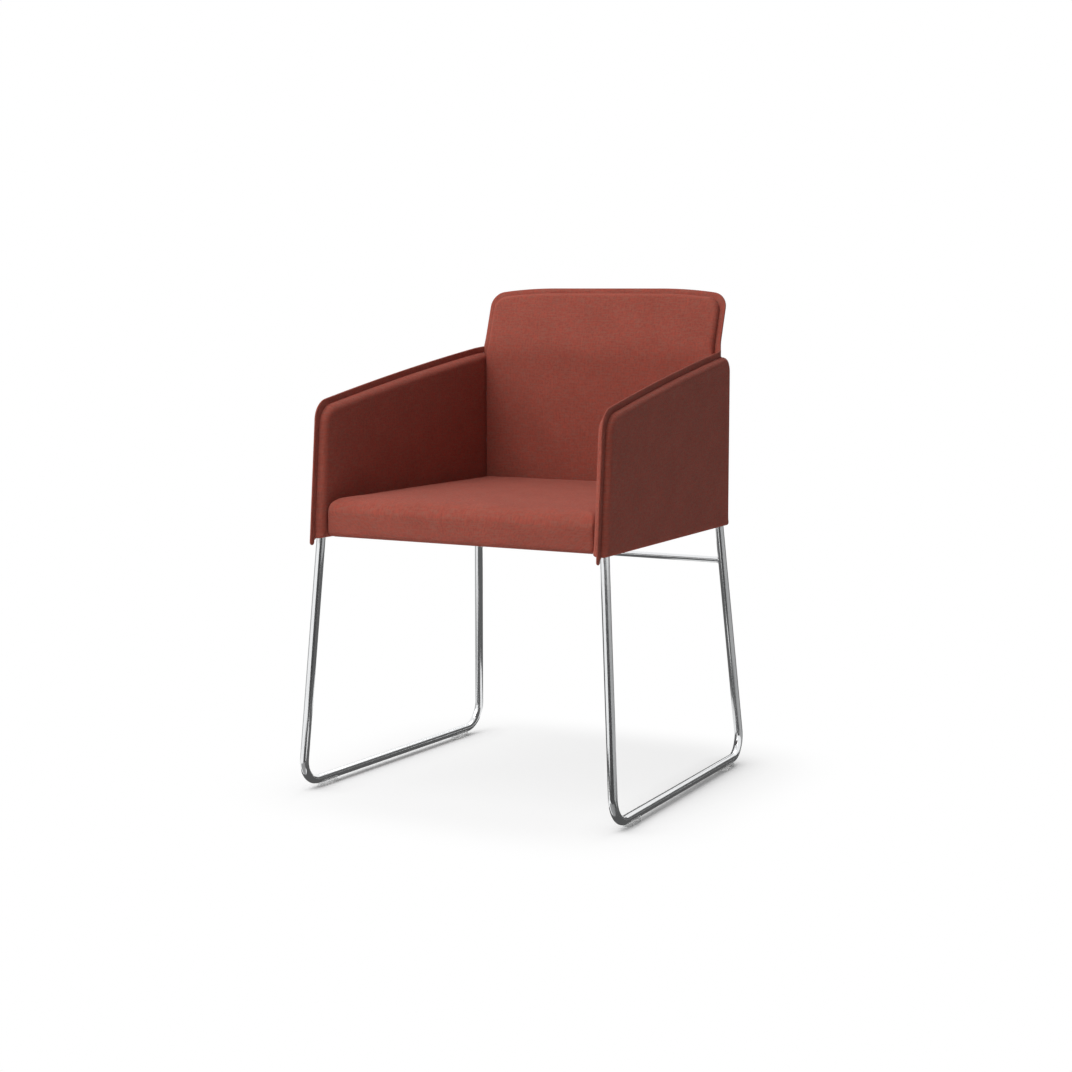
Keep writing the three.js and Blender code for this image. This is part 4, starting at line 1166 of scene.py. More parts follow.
@dataclass(frozen=True)
class FinForm:
    """A sewn fin: two layers of cloth that stand out between the pads of a panel."""

    thickness: float = 0.003
    show: float = 0.010
    tuck: float = 0.004
    edge_steps: int = 6
    cloth_step: float = 0.0017

    @property
    def thread_off(self) -> float:
        """How far a stitch stands off the fin's middle plane."""
        return self.thickness / 2 + SeamStitches.RADIUS * SeamStitches.PROUD

    def section(self, outer: Vector, inner: Vector, thin: float = 1.0) -> list[tuple[Vector, float]]:
        """A rounded section from the free edge to the sewn one.

        Args:
            outer: the free edge, in the panel's plane.
            inner: the sewn edge, in the panel's plane.
            thin: the share of the thickness here.

        Returns:
            The section's points, each with its distance off the panel's plane.
        """
        half = self.thickness / 2 * thin
        heading = (inner - outer).normalized()
        width = (inner - outer).length - 2 * half
        angles = [math.pi * i / self.edge_steps for i in range(self.edge_steps + 1)]
        loop = [(outer + heading * half * (1 - math.sin(a)), -half * math.cos(a)) for a in angles]
        loop += [(outer + heading * (half + width * share), half) for share in (0.25, 0.5, 0.75)]
        loop += [(inner - heading * half * (1 - math.sin(a)), half * math.cos(a)) for a in angles]
        loop += [(outer + heading * (half + width * share), -half) for share in (0.75, 0.5, 0.25)]
        return loop

    def skin(self, loops: Sequence[Sequence[Vector]], runs: Sequence[float]) -> Skin:
        """The fin through its sections, with a painted highlight along its free edge.

        Args:
            loops: the sections' points in the chair's frame.
            runs: the length along the fin at each section.

        Returns:
            The fin's skin.
        """
        cloth = [[(run, n * self.cloth_step) for n in range(len(loop))] for run, loop in zip(runs, loops)]
        skin = loop_skin(loops, cloth)
        # A painted highlight along each section's rounded free edge.
        edge = [float(n <= self.edge_steps) for loop in loops for n in range(len(loop))]
        skin.values["painted_highlight"] = np.array(edge)
        return skin


class SeamStitches:
    """Stitches along seams, made by one node tree."""

    PITCH = 0.0034
    LENGTH = 0.0024
    RADIUS = 0.00022
    PROUD = 0.3

    def __init__(self, finish: Material) -> None:
        """Builds the tree with its named sizes.

        Args:
            finish: the thread's material.
        """
        self.finish = finish
        self.tree = bpy.data.node_groups.new("stitches along a seam", "GeometryNodeTree")
        face = self.tree.interface
        face.new_socket("Geometry", in_out="INPUT", socket_type="NodeSocketGeometry")
        for name, value in (("Pitch", self.PITCH), ("Length", self.LENGTH), ("Radius", self.RADIUS)):
            face.new_socket(name, in_out="INPUT", socket_type="NodeSocketFloat").default_value = value
        face.new_socket("Seed", in_out="INPUT", socket_type="NodeSocketInt").default_value = 7
        face.new_socket("Thread", in_out="INPUT", socket_type="NodeSocketMaterial")
        face.new_socket("Geometry", in_out="OUTPUT", socket_type="NodeSocketGeometry")
        self.build()

    def build(self) -> None:
        """Joins the tree's nodes: points along the line, a thread at each, all realised."""
        nodes = Nodes(self.tree)
        given = nodes.add("NodeGroupInput").outputs
        curve = nodes.add("GeometryNodeMeshToCurve", {0: given["Geometry"]})
        spacing = {"Curve": curve.outputs[0], "Length": given["Pitch"]}
        points = nodes.add("GeometryNodeCurveToPoints", spacing, mode="LENGTH")
        upright = {"Direction": (0.0, 0.0, 1.0), "Length": given["Length"]}
        line = nodes.add("GeometryNodeCurvePrimitiveLine", upright, mode="DIRECTION")
        round_form = {"Resolution": 6, "Radius": given["Radius"]}
        ring = nodes.add("GeometryNodeCurvePrimitiveCircle", round_form, mode="RADIUS")
        swept = {"Curve": line.outputs[0], "Profile Curve": ring.outputs[0], "Fill Caps": True}
        thread = nodes.add("GeometryNodeCurveToMesh", swept)
        turn = nodes.add("FunctionNodeAlignEulerToVector", {"Vector": points.outputs["Tangent"]}, axis="Z")
        spread = {2: 0.9, 3: 1.08, "Seed": given["Seed"]}
        chance = nodes.add("FunctionNodeRandomValue", spread, data_type="FLOAT")
        sewn = {
            "Points": points.outputs["Points"],
            "Instance": thread.outputs[0],
            "Rotation": turn.outputs[0],
            "Scale": chance.outputs[1],
        }
        row = nodes.add("GeometryNodeInstanceOnPoints", sewn)
        real = nodes.add("GeometryNodeRealizeInstances", {0: row.outputs[0]})
        dye = {"Geometry": real.outputs[0], "Material": given["Thread"]}
        dyed = nodes.add("GeometryNodeSetMaterial", dye)
        nodes.add("NodeGroupOutput", {0: dyed.outputs[0]})

    def sew(self, name: str, lines: Sequence[Sequence[Vector]]) -> None:
        """Sews stitches along lines, as one plain mesh.

        Args:
            name: the piece's name.
            lines: the seams, each a list of points.
        """
        edges, start = [], 0
        for line in lines:
            edges += [(start + i, start + i + 1) for i in range(len(line) - 1)]
            start += len(line)
        mesh = bpy.data.meshes.new(name)
        mesh.from_pydata([tuple(p) for line in lines for p in line], edges, [])
        piece = linked(name, mesh)
        modifier = piece.modifiers.new("stitches", "NODES")
        modifier.node_group = self.tree
        sockets = {s.name: s.identifier for s in self.tree.interface.items_tree if s.in_out == "INPUT"}
        modifier[sockets["Thread"]] = self.finish
        modifier[sockets["Pitch"]] = self.PITCH
        applied(piece)
        finish_mesh(piece.data)
        settle(piece, [])


# Sub-assemblies


@dataclass
class SideFrames:
    """Two bent rods and the bar between their rear legs."""

    arm: ArmForm
    finish: Material
    diameter: float = 0.014
    bend_radius: float = 0.038
    lift: float = 0.006
    leg_inset: float = 0.0103
    front_rake: float = 0.021
    rear_rake: float = 0.043
    front_splay: float = 0.02646
    rear_splay: float = 0.02496
    rise: float = 0.080
    end_dome: float = 0.001
    sides: int = 40
    cutter_sides: int = 24
    bend_steps: tuple[int, ...] = (4, 24, 24, 4)
    bar_diameter: float = 0.010
    bar_drop: float = 0.060
    bar_rings: int = 24
    weld: float = 0.0011
    weld_proud: float = 0.1
    weld_sides: int = 10

    @property
    def radius(self) -> float:
        """The rod's radius."""
        return self.diameter / 2

    @property
    def front_leg(self) -> float:
        """Where the front legs meet the arms."""
        return self.arm.corner_reach - self.leg_inset

    @property
    def rear_leg(self) -> float:
        """Where the rear legs meet the arms."""
        return self.arm.back_reach - self.leg_inset

    def feet(self) -> tuple[Vector, Vector]:
        """Where the left runner's middle line ends, before its bends.

        Returns:
            The front end and the rear end.
        """
        height = self.lift + self.radius
        front = self.arm.face_at(0, -self.front_leg) + self.front_splay
        rear = self.arm.face_at(0, self.rear_leg) + self.rear_splay
        start = Vector((front, -self.front_leg - self.front_rake + self.arm.shift, height))
        return start, Vector((rear, self.rear_leg + self.rear_rake + self.arm.shift, height))

    def leg_point(self, along: float, height: float) -> Vector:
        """A point of the left arm's plane."""
        return Vector((self.arm.face_at(0, along), along + self.arm.shift, height))

    def path(self, extra: float = 0.0) -> list[Vector]:
        """The left rod's middle line.

        Args:
            extra: how much further its ends reach.

        Returns:
            The line's points, with its bends rounded.
        """
        feet = self.feet()
        height = self.arm.underside
        legs = []
        for sign, reach, rake in ((-1, self.front_leg, self.front_rake), (1, self.rear_leg, self.rear_rake)):
            inward = rake * (self.rise + extra) / (height - feet[0].z)
            tip = self.leg_point(sign * (reach - inward), height + self.rise + extra)
            legs.append((tip, self.leg_point(sign * reach, height)))
        corners = [*legs[0], *feet, *reversed(legs[1])]
        line = [corners[0]]
        for before, corner, after, steps in zip(corners, corners[1:], corners[2:], self.bend_steps):
            line += rounded_corner(before, corner, after, self.bend_radius, steps)
        return [*line, corners[-1]]

    def space(self) -> Piece:
        """A cutter for the left rod, grown by the fit's gap."""
        skin = rod_skin(self.path(FIT_GAP), self.radius + FIT_GAP, self.cutter_sides)
        return skin.piece("space", self.finish)

    def bar_end(self, angle: float, proud: float) -> Vector:
        """A point on the left end of the crossbar, where it meets the leg.

        Args:
            angle: the angle round the bar.
            proud: how far outside the leg's surface the point lies.

        Returns:
            The point.
        """
        foot, knee = self.feet()[1], self.leg_point(self.rear_leg, self.arm.underside)
        heading = (knee - foot).normalized()
        height = self.arm.underside - self.bar_drop
        middle = foot.lerp(knee, (height - foot.z) / (knee.z - foot.z))
        radius = self.bar_diameter / 2
        y, z = math.cos(angle) * radius, math.sin(angle) * radius
        near, far = 0.0, middle.x
        for _ in range(HALVINGS):
            x = (near + far) / 2
            offset = Vector((x, middle.y + y, height + z)) - foot
            away = (offset - heading * offset.dot(heading)).length
            near, far = (x, far) if away > self.radius + proud else (near, x)
        return Vector((near, middle.y + y, height + z))

    def crossbar(self) -> Skin:
        """The bar between the rear legs, shaped to them at its ends.

        Returns:
            The bar's skin.
        """
        angles = [2 * math.pi * n / self.sides for n in range(self.sides)]
        end = [self.bar_end(a, FIT_GAP / 2) for a in angles]
        shares = np.linspace(-1, 1, self.bar_rings)
        loops = [[Vector((p.x * s, p.y, p.z)) for p in end] for s in shares]
        cloth = [[(a * self.bar_diameter / 2, p.x * s) for a, p in zip(angles, end)] for s in shares]
        return loop_skin(loops, cloth)

    def weld_ring(self) -> Skin:
        """The ground weld round the bar's left end.

        Returns:
            The weld's skin.
        """
        loops, cloth = [], []
        for angle in [2 * math.pi * i / self.sides for i in range(self.sides)]:
            core = self.bar_end(angle, self.weld * self.weld_proud)
            outward = Vector((0, math.cos(angle), math.sin(angle)))
            turns = [2 * math.pi * n / self.weld_sides for n in range(self.weld_sides)]
            away = [(self.weld * math.cos(a), Vector((self.weld * math.sin(a), 0, 0))) for a in turns]
            loops.append([core + outward * out + aside for out, aside in away])
            cloth.append([(angle * self.bar_diameter / 2, n * self.weld) for n in range(self.weld_sides)])
        skin = loop_skin(loops, cloth)
        count = self.weld_sides
        last = (self.sides - 1) * count
        closing = [(last + n, last + (n + 1) % count, (n + 1) % count, n) for n in range(count)]
        return Skin(skin.points, skin.faces[:-2] + closing, skin.cloth)

    def build(self) -> None:
        """Makes both rods, the bar and its welds."""
        rod = rod_skin(self.path(), self.radius, self.sides, self.end_dome)
        for side in Side:
            piece = rod.on(side).piece("bent_rod_" + side.label, self.finish)
            settle(piece, ["side_frame_" + side.label])
        settle(self.crossbar().piece("rear_bar", self.finish), ["rear_crossbar"])
        ring = self.weld_ring()
        for side in Side:
            settle(ring.on(side).piece("bar_weld_" + side.label, self.finish), [])


@dataclass
class Glides:
    """Clear glides that cradle the runners."""

    frames: SideFrames
    finish: Material
    length: float = 0.036
    width: float = 0.0134
    height: float = 0.011
    chamfer: float = 0.0016
    softening: float = 0.0005
    soft_share: float = 0.45
    lip_drop: float = 0.0004
    lip_inset: float = 0.0003
    inset: float = 0.066
    groove_steps: int = 20

    def outline(self) -> list[tuple[float, float]]:
        """The glide's section across the runner, with the groove that the rod lies in.

        Returns:
            The section's points, across and up.
        """
        half = self.width / 2
        flank = [
            (half - self.chamfer, 0.0),
            (half - self.softening, self.chamfer * self.soft_share),
            (half, self.chamfer),
            (half, self.height - self.lip_drop),
            (half - self.lip_inset, self.height),
        ]
        other = [(-x, z) for x, z in reversed(flank)]
        radius = self.frames.radius + FIT_GAP
        centre = self.frames.lift + self.frames.radius
        reach = math.acos((centre - self.height) / radius)
        angles = [reach - 2 * reach * i / self.groove_steps for i in range(self.groove_steps + 1)]
        groove = [(math.sin(a) * radius, centre - math.cos(a) * radius) for a in angles]
        return [other[-1], *flank, *groove, *other[:-1]]

    def skin(self, end: Facing) -> Skin:
        """One glide of the left runner.

        Args:
            end: the runner's end near which it stands.

        Returns:
            The glide's skin.
        """
        front, rear = self.frames.feet()
        heading = (rear - front).normalized()
        start = front if end is Facing.FRONT else rear
        middle = start + (rear - front) * (end.value * self.inset / (rear.y - front.y))
        middle.z = 0
        side = Vector((heading.y, -heading.x, 0))
        insets = {1.0: 0.0, self.soft_share: self.softening, 0.0: self.chamfer}
        places = [(-1, lift) for lift in insets] + [(1, lift) for lift in reversed(insets)]
        loops, cloth = [], []
        for sign, lift in places:
            along = sign * (self.length / 2 - insets[lift])
            spots = [(x, max(z, self.chamfer * lift)) for x, z in self.outline()]
            loops.append([middle + heading * along + side * x + Vector((0, 0, z)) for x, z in spots])
            cloth.append([(x, along) for x, _ in spots])
        return loop_skin(loops, cloth)

    def build(self) -> None:
        """Makes the four glides."""
        for end in Facing:
            skin = self.skin(end)
            for side in Side:
                name = f"glide_{end.name.lower()}_{side.label}"
                settle(skin.on(side).piece("clear_" + name, self.finish), [name])


@dataclass
class ArmPanels:
    """The upholstery of both arms: a fin between an inner and an outer pad."""

    arm: ArmForm
    frames: SideFrames
    finish: Material
    stitches: SeamStitches
    fin: FinForm = FinForm()
    edges: PadEdges = PadEdges()
    fin_reach: float = 0.229
    fin_sweep: float = 0.005
    fin_sweep_run: float = 0.028
    fin_end_drop: float = 0.0008
    top_steps: int = 14
    tip_drop: float = 0.0095
    tip_start: float = 0.002
    tip_steps: int = 10
    tip_thin: tuple[float, float] = (0.35, 0.8)
    inner_thickness: float = 0.012
    inner_reach: float = 0.2269
    outer_thickness: float = 0.009
    outer_reach: float = 0.242
    wrap_thickness: float = 0.0138
    wrap_front: float = 0.2330
    rear_turn: float = 0.012
    rear_radius: float = 0.027
    butt_radius: float = 0.0015
    seam_gap: float = 0.001
    crown: float = 0.0005
    stitch_inset: float = 0.0068

    def fin_point(self, point: Vector, off: float) -> Vector:
        """A point of the left fin.

        Args:
            point: its place along and up.
            off: its distance off the fin's middle plane, which sweeps inwards at the rear.

        Returns:
            The point in the chair's frame.
        """
        share = max(point.x - self.fin_reach + self.fin_sweep_run, 0) / self.fin_sweep_run
        off -= self.fin_sweep * share**2
        return Vector(self.arm.place(np.array(off), np.array(point.x), np.array(point.y)))

    def fin_skin(self) -> Skin:
        """The left arm's fin, from its tip below the arm to its end at the back.

        Returns:
            The fin's skin.
        """
        shown_width = self.fin.show
        insets = (0, shown_width, shown_width + self.fin_end_drop, shown_width + self.fin.tuck)
        free, shown, clear, sewn = [
            self.arm.edge(inset, self.fin_reach, self.top_steps, self.fin_sweep_run) for inset in insets
        ]
        lean = self.arm.front_lean
        down = Vector((-math.sin(lean), -math.cos(lean)))
        inward = Vector((-down.y, down.x))
        half = shown_width / 2
        middle = (free[0] + shown[0]) / 2
        sections = []
        for i in range(self.tip_steps, 0, -1):
            angle = math.pi / 2 * i / (self.tip_steps + 0.5)
            point = middle + down * (self.tip_drop - half * (1 - math.sin(angle)))
            width = half * math.cos(angle)
            thin = min(1.0, self.tip_thin[0] + self.tip_thin[1] * math.cos(angle))
            sections.append(self.fin.section(point - inward * width, point + inward * width, thin))
        sections.append(self.fin.section(free[0] + down * self.tip_start, shown[0] + down * self.tip_start))
        swept = len(free) - 1 - self.top_steps
        sections += [self.fin.section(a, b) for a, b in zip(free[: swept + 1], sewn)]
        sections += [self.fin.section(a, b) for a, b in zip(free[swept:], clear[swept:])]
        loops = [[self.fin_point(p, off) for p, off in section] for section in sections]
        return self.fin.skin(loops, run_lengths([loop[self.fin.edge_steps // 2] for loop in loops]))

    def seam_lines(self) -> list[list[Vector]]:
        """The stitch lines on both faces of the left fin.

        Returns:
            One line for each face.
        """
        reach = self.fin_reach - self.fin_sweep_run
        line = self.arm.edge(self.stitch_inset, reach, self.top_steps, self.fin_sweep_run)
        return [[self.fin_point(p, sign * self.fin.thread_off) for p in line] for sign in (-1, 1)]

    def shares(self, reach: float, rear_run: float) -> tuple[Array, Array]:
        """The grid of a pad.

        Args:
            reach: where the pad ends at the rear.
            rear_run: the run of close columns there.

        Returns:
            The grid's rows and columns, as shares.
        """
        height = self.arm.top_height - self.arm.underside
        corner = self.arm.corner_radius - self.fin.show
        columns = graded(reach + self.arm.corner_reach, corner, rear_run, self.edges.step)
        return graded(height, self.edges.foot_run, corner, self.edges.step), columns

    def inner_skin(self) -> Skin:
        """The left arm's inner pad.

        Returns:
            The pad's skin.
        """
        thickness, edges = self.inner_thickness, self.edges
        turns = (thickness, edges.butt_turn, edges.foot_turn, thickness)
        radii = (self.butt_radius, edges.foot_radius)
        outline = self.arm.outline(self.inner_reach, self.fin.show, turns, *radii)
        u, v = outline.grid(*self.shares(self.inner_reach, edges.foot_run))
        rise = thickness * outline.fullness(u, v) + self.crown * outline.crown(u, v)

        def placed(along: Array, up: Array, height: Array) -> Array:
            """Places over the arm's inner face."""
            return self.arm.place(-self.arm.pad_face - height, along, up)

        return outline.skin(u, v, (rise, rise * 0), placed, thickness)

    def outer_skin(self) -> Skin:
        """The left arm's outer pad, which wraps round behind the panel.

        Returns:
            The pad's skin.
        """
        thickness = self.outer_thickness
        turns = (thickness, self.rear_turn, self.edges.foot_turn, thickness)
        radii = (self.rear_radius, self.edges.foot_radius)
        outline = self.arm.outline(self.outer_reach, self.fin.show, turns, *radii)
        rows, columns = self.shares(self.outer_reach, self.rear_radius)
        width = self.outer_reach + self.arm.corner_reach
        seam = (self.wrap_front + self.arm.corner_reach) / width
        columns = np.sort(np.append(columns[np.abs(columns - seam) > self.seam_gap / width], seam))
        u, v = outline.grid(rows, columns)
        full = outline.fullness(u, v)
        face = self.arm.pad_face
        rise = face + thickness * full + self.crown * outline.crown(u, v)
        lower = np.where(u >= self.wrap_front - WELD, -face - self.wrap_thickness * full, face)
        return outline.skin(u, v, (rise, lower), lambda a, b, h: self.arm.place(h, a, b), thickness)

    def build(self) -> None:
        """Makes the four pads, the fins and their stitches."""
        rod = self.frames.space()
        rails = space_of("seat_rail_front", "seat_rail_rear")
        angle = space_of("back_angle_left")
        names = ("rail_bolt_front", "rail_bolt_rear", "angle_bolt_arm_low", "angle_bolt_arm_high")
        bolts = [space_of(name + "_left") for name in names]
        pads = {
            "arm_inner_pad": (self.inner_skin(), [rod, rails, angle, *bolts[2:]]),
            "arm_outer_pad": (self.outer_skin(), [rod, *bolts]),
        }
        for node, (skin, cutters) in pads.items():
            for side in Side:
                make_pad(skin, f"{node}_{side.label}", self.finish, cutters, side)
        discard([rod, rails, angle, *bolts])
        fin, lines = self.fin_skin(), self.seam_lines()
        for side in Side:
            piece = fin.on(side).piece("arm_fin_" + side.label, self.finish)
            settle(piece, ["arm_welt_" + side.label])
            seams = [[Vector((p.x * side.value, p.y, p.z)) for p in line] for line in lines]
            self.stitches.sew("arm_stitches_" + side.label, seams)


@dataclass
class BackPanel:
    """The back: a fin round its head between a front and a rear pad."""

    arm: ArmForm
    finish: Material
    stitches: SeamStitches
    fin: FinForm = FinForm()
    edges: PadEdges = PadEdges()
    foot: float = 0.405
    bend_height: float = 0.684
    bend_radius: float = 0.100
    lean: float = math.atan(0.334)
    head: float = 0.1072
    side_inset: float = 0.00613
    corner_radius: float = 0.027
    top_flat: float = 0.100
    top_drop: float = 0.010
    crest_drop: float = 0.055
    fin_drop: float = 0.044
    fin_show: float = 0.0095
    front_thickness: float = 0.008
    rear_thickness: float = 0.012
    crown: float = 0.001
    seat_room: float = 0.012
    blend_drop: float = 0.011
    blend_run: float = 0.017
    flare: float = 0.0018
    flare_run: float = 0.022
    crest_gap: float = 0.004
    stitch_inset: float = 0.0066
    side_points: int = 20
    corner_steps: int = 16
    crest_points: int = 10
    level_points: int = 8

    @property
    def bend_rise(self) -> float:
        """The rise at which the back would bend if its bend were sharp."""
        return self.bend_height - self.foot

    @property
    def rise(self) -> float:
        """The back's whole length from its foot to its top."""
        return self.bend_rise + self.head

    @property
    def half_width(self) -> float:
        """Half the width over the fin."""
        return self.arm.face_at(0, self.arm.back_reach) - self.side_inset

    @property
    def straight(self) -> float:
        """The rise at which the bend starts."""
        return self.bend_rise - self.bend_radius * math.tan(self.lean / 2)

    @property
    def bend_length(self) -> float:
        """The bend's length."""
        return self.bend_radius * self.lean

    def place(self, across: Array, rise: Array, forward: Array) -> Array:
        """Points of the back.

        Args:
            across: lengths from its middle.
            rise: lengths up along its profile.
            forward: heights in front of its middle plane.

        Returns:
            The points' places in the chair's frame.
        """
        turned = np.clip((rise - self.straight) / self.bend_length, 0, 1) * self.lean
        sin, cos = np.sin(turned), np.cos(turned)
        beyond = np.maximum(rise - self.straight - self.bend_length, 0)
        y = self.bend_radius * (1 - cos) + sin * beyond
        z = np.minimum(rise, self.straight) + self.bend_radius * sin + cos * beyond
        depth = self.arm.back_reach + self.arm.shift + y - cos * forward
        height = self.foot + z + sin * forward
        return np.stack(np.broadcast_arrays(across, depth, height), axis=-1)

    def point(self, across: float, rise: float, forward: float) -> Vector:
        """One point of the back."""
        return Vector(self.place(np.array(across), np.array(rise), np.array(forward)))

    def top_at(self, across: Array) -> Array:
        """The top edge's rise at a place across."""
        past = np.maximum(np.abs(across) - self.top_flat, 0) / (self.half_width - self.top_flat)
        return self.rise - self.top_drop * past**2

    def fin_edge(self) -> list[Vector]:
        """The fin's free edge, from its right foot over the top to its left foot.

        Returns:
            The edge's points, across and by their rise.
        """
        half = self.half_width
        side = []
        ends = (self.bend_rise - self.fin_drop, self.rise - self.crest_drop)
        for rise in np.linspace(*ends, self.side_points):
            share = min(max((self.bend_rise + self.flare_run - rise) / self.flare_run, 0), 1)
            side.append(Vector((-half - self.flare * share**2, rise)))
        spots = np.linspace(-half + self.corner_radius + self.crest_gap, -self.top_flat, self.crest_points)
        crest = [Vector((spot, float(self.top_at(spot)))) for spot in spots]
        corner = Vector((-half, float(self.top_at(half))))
        arc = rounded_corner(side[-1], corner, crest[0], self.corner_radius, self.corner_steps)
        spots = np.linspace(-self.top_flat, 0, self.level_points)[1:-1]
        level = [Vector((spot, self.rise)) for spot in spots]
        one = [*side, *arc, *crest, *level]
        return [*one, *[Vector((-p.x, p.y)) for p in reversed(one)]]

    def fin_skin(self) -> Skin:
        """The fin round the back's head.

        Returns:
            The fin's skin.
        """
        free = self.fin_edge()
        sewn = inset_line(free, self.fin.show + self.fin.tuck)
        for end in (0, -1):
            sewn[end].y = free[end].y
        sections = [self.fin.section(a, b) for a, b in zip(free, sewn)]
        loops = [[self.point(p.x, p.y, off) for p, off in section] for section in sections]
        return self.fin.skin(loops, run_lengths(free))

    def seam_lines(self) -> list[list[Vector]]:
        """The stitch lines on both faces of the fin."""
        line = inset_line(self.fin_edge(), self.stitch_inset)
        return [[self.point(p.x, p.y, sign * self.fin.thread_off) for p in line] for sign in (-1, 1)]

    def pad_skin(self, facing: Facing, thickness: float) -> Skin:
        """A pad of the back, which is narrower above the arms than between them.

        Args:
            facing: the face that it covers.
            thickness: its thickness.

        Returns:
            The pad's skin.
        """
        edges = self.edges
        corner = self.corner_radius - self.fin.show / 2
        free_half = self.half_width - self.fin_show
        arm_face = -self.arm.pad_face - self.seat_room
        seated_half = self.arm.face_at(arm_face, self.arm.back_reach) - FIT_GAP / 3
        blend_start = self.bend_rise - self.blend_drop

        def freed(v: Array) -> Array:
            """How far the pad stands clear of the arms at a rise."""
            share = np.clip((v - blend_start) / self.blend_run, 0, 1)
            return share**2 * (3 - 2 * share)

        def half_at(v: Array) -> Array:
            """Half its width at a rise."""
            return seated_half + (free_half - seated_half) * freed(v)

        def turns_at(v: Array) -> tuple:
            """How far in its surface turns over at a rise."""
            side = edges.butt_turn + (thickness - edges.butt_turn) * freed(v)
            return side, side, edges.foot_turn, thickness

        height = self.rise - self.fin.show
        outline = PadOutline(
            left=lambda v: -half_at(v),
            right=half_at,
            low=lambda u: 0 * u,
            high=lambda u: self.top_at(u) - self.fin.show,
            radii=(edges.foot_radius, edges.foot_radius, corner, corner),
            turns=turns_at,
            straight_to=(self.straight + self.bend_length) / height,
        )
        rows = graded(height, edges.foot_run, corner, edges.step)
        u, v = outline.grid(rows, graded(2 * free_half, corner, corner, edges.step))
        rise = thickness * outline.fullness(u, v) + self.crown * outline.crown(u, v)

        def placed(across: Array, up: Array, height: Array) -> Array:
            """Places over the face that the pad covers."""
            return self.place(across, up, facing.value * (self.arm.pad_face + height))

        return outline.skin(u, v, (rise, rise * 0), placed, thickness)

    def build(self) -> None:
        """Makes the two pads, the fin and its stitches."""
        places = [f"{level}_{side.label}" for level in ("low", "high") for side in Side]
        bolts = [space_of("angle_bolt_back_" + place) for place in places]
        angles = [space_of("back_angle_" + side.label) for side in Side]
        pads = {
            "back_front_pad": (Facing.FRONT, self.front_thickness, [*angles, *bolts]),
            "back_rear_pad": (Facing.REAR, self.rear_thickness, bolts),
        }
        for node, (facing, thickness, cutters) in pads.items():
            make_pad(self.pad_skin(facing, thickness), node, self.finish, cutters, Side.LEFT)
        discard([*angles, *bolts])
        settle(self.fin_skin().piece("back_fin", self.finish), ["back_welt"])
        self.stitches.sew("back_stitches", self.seam_lines())


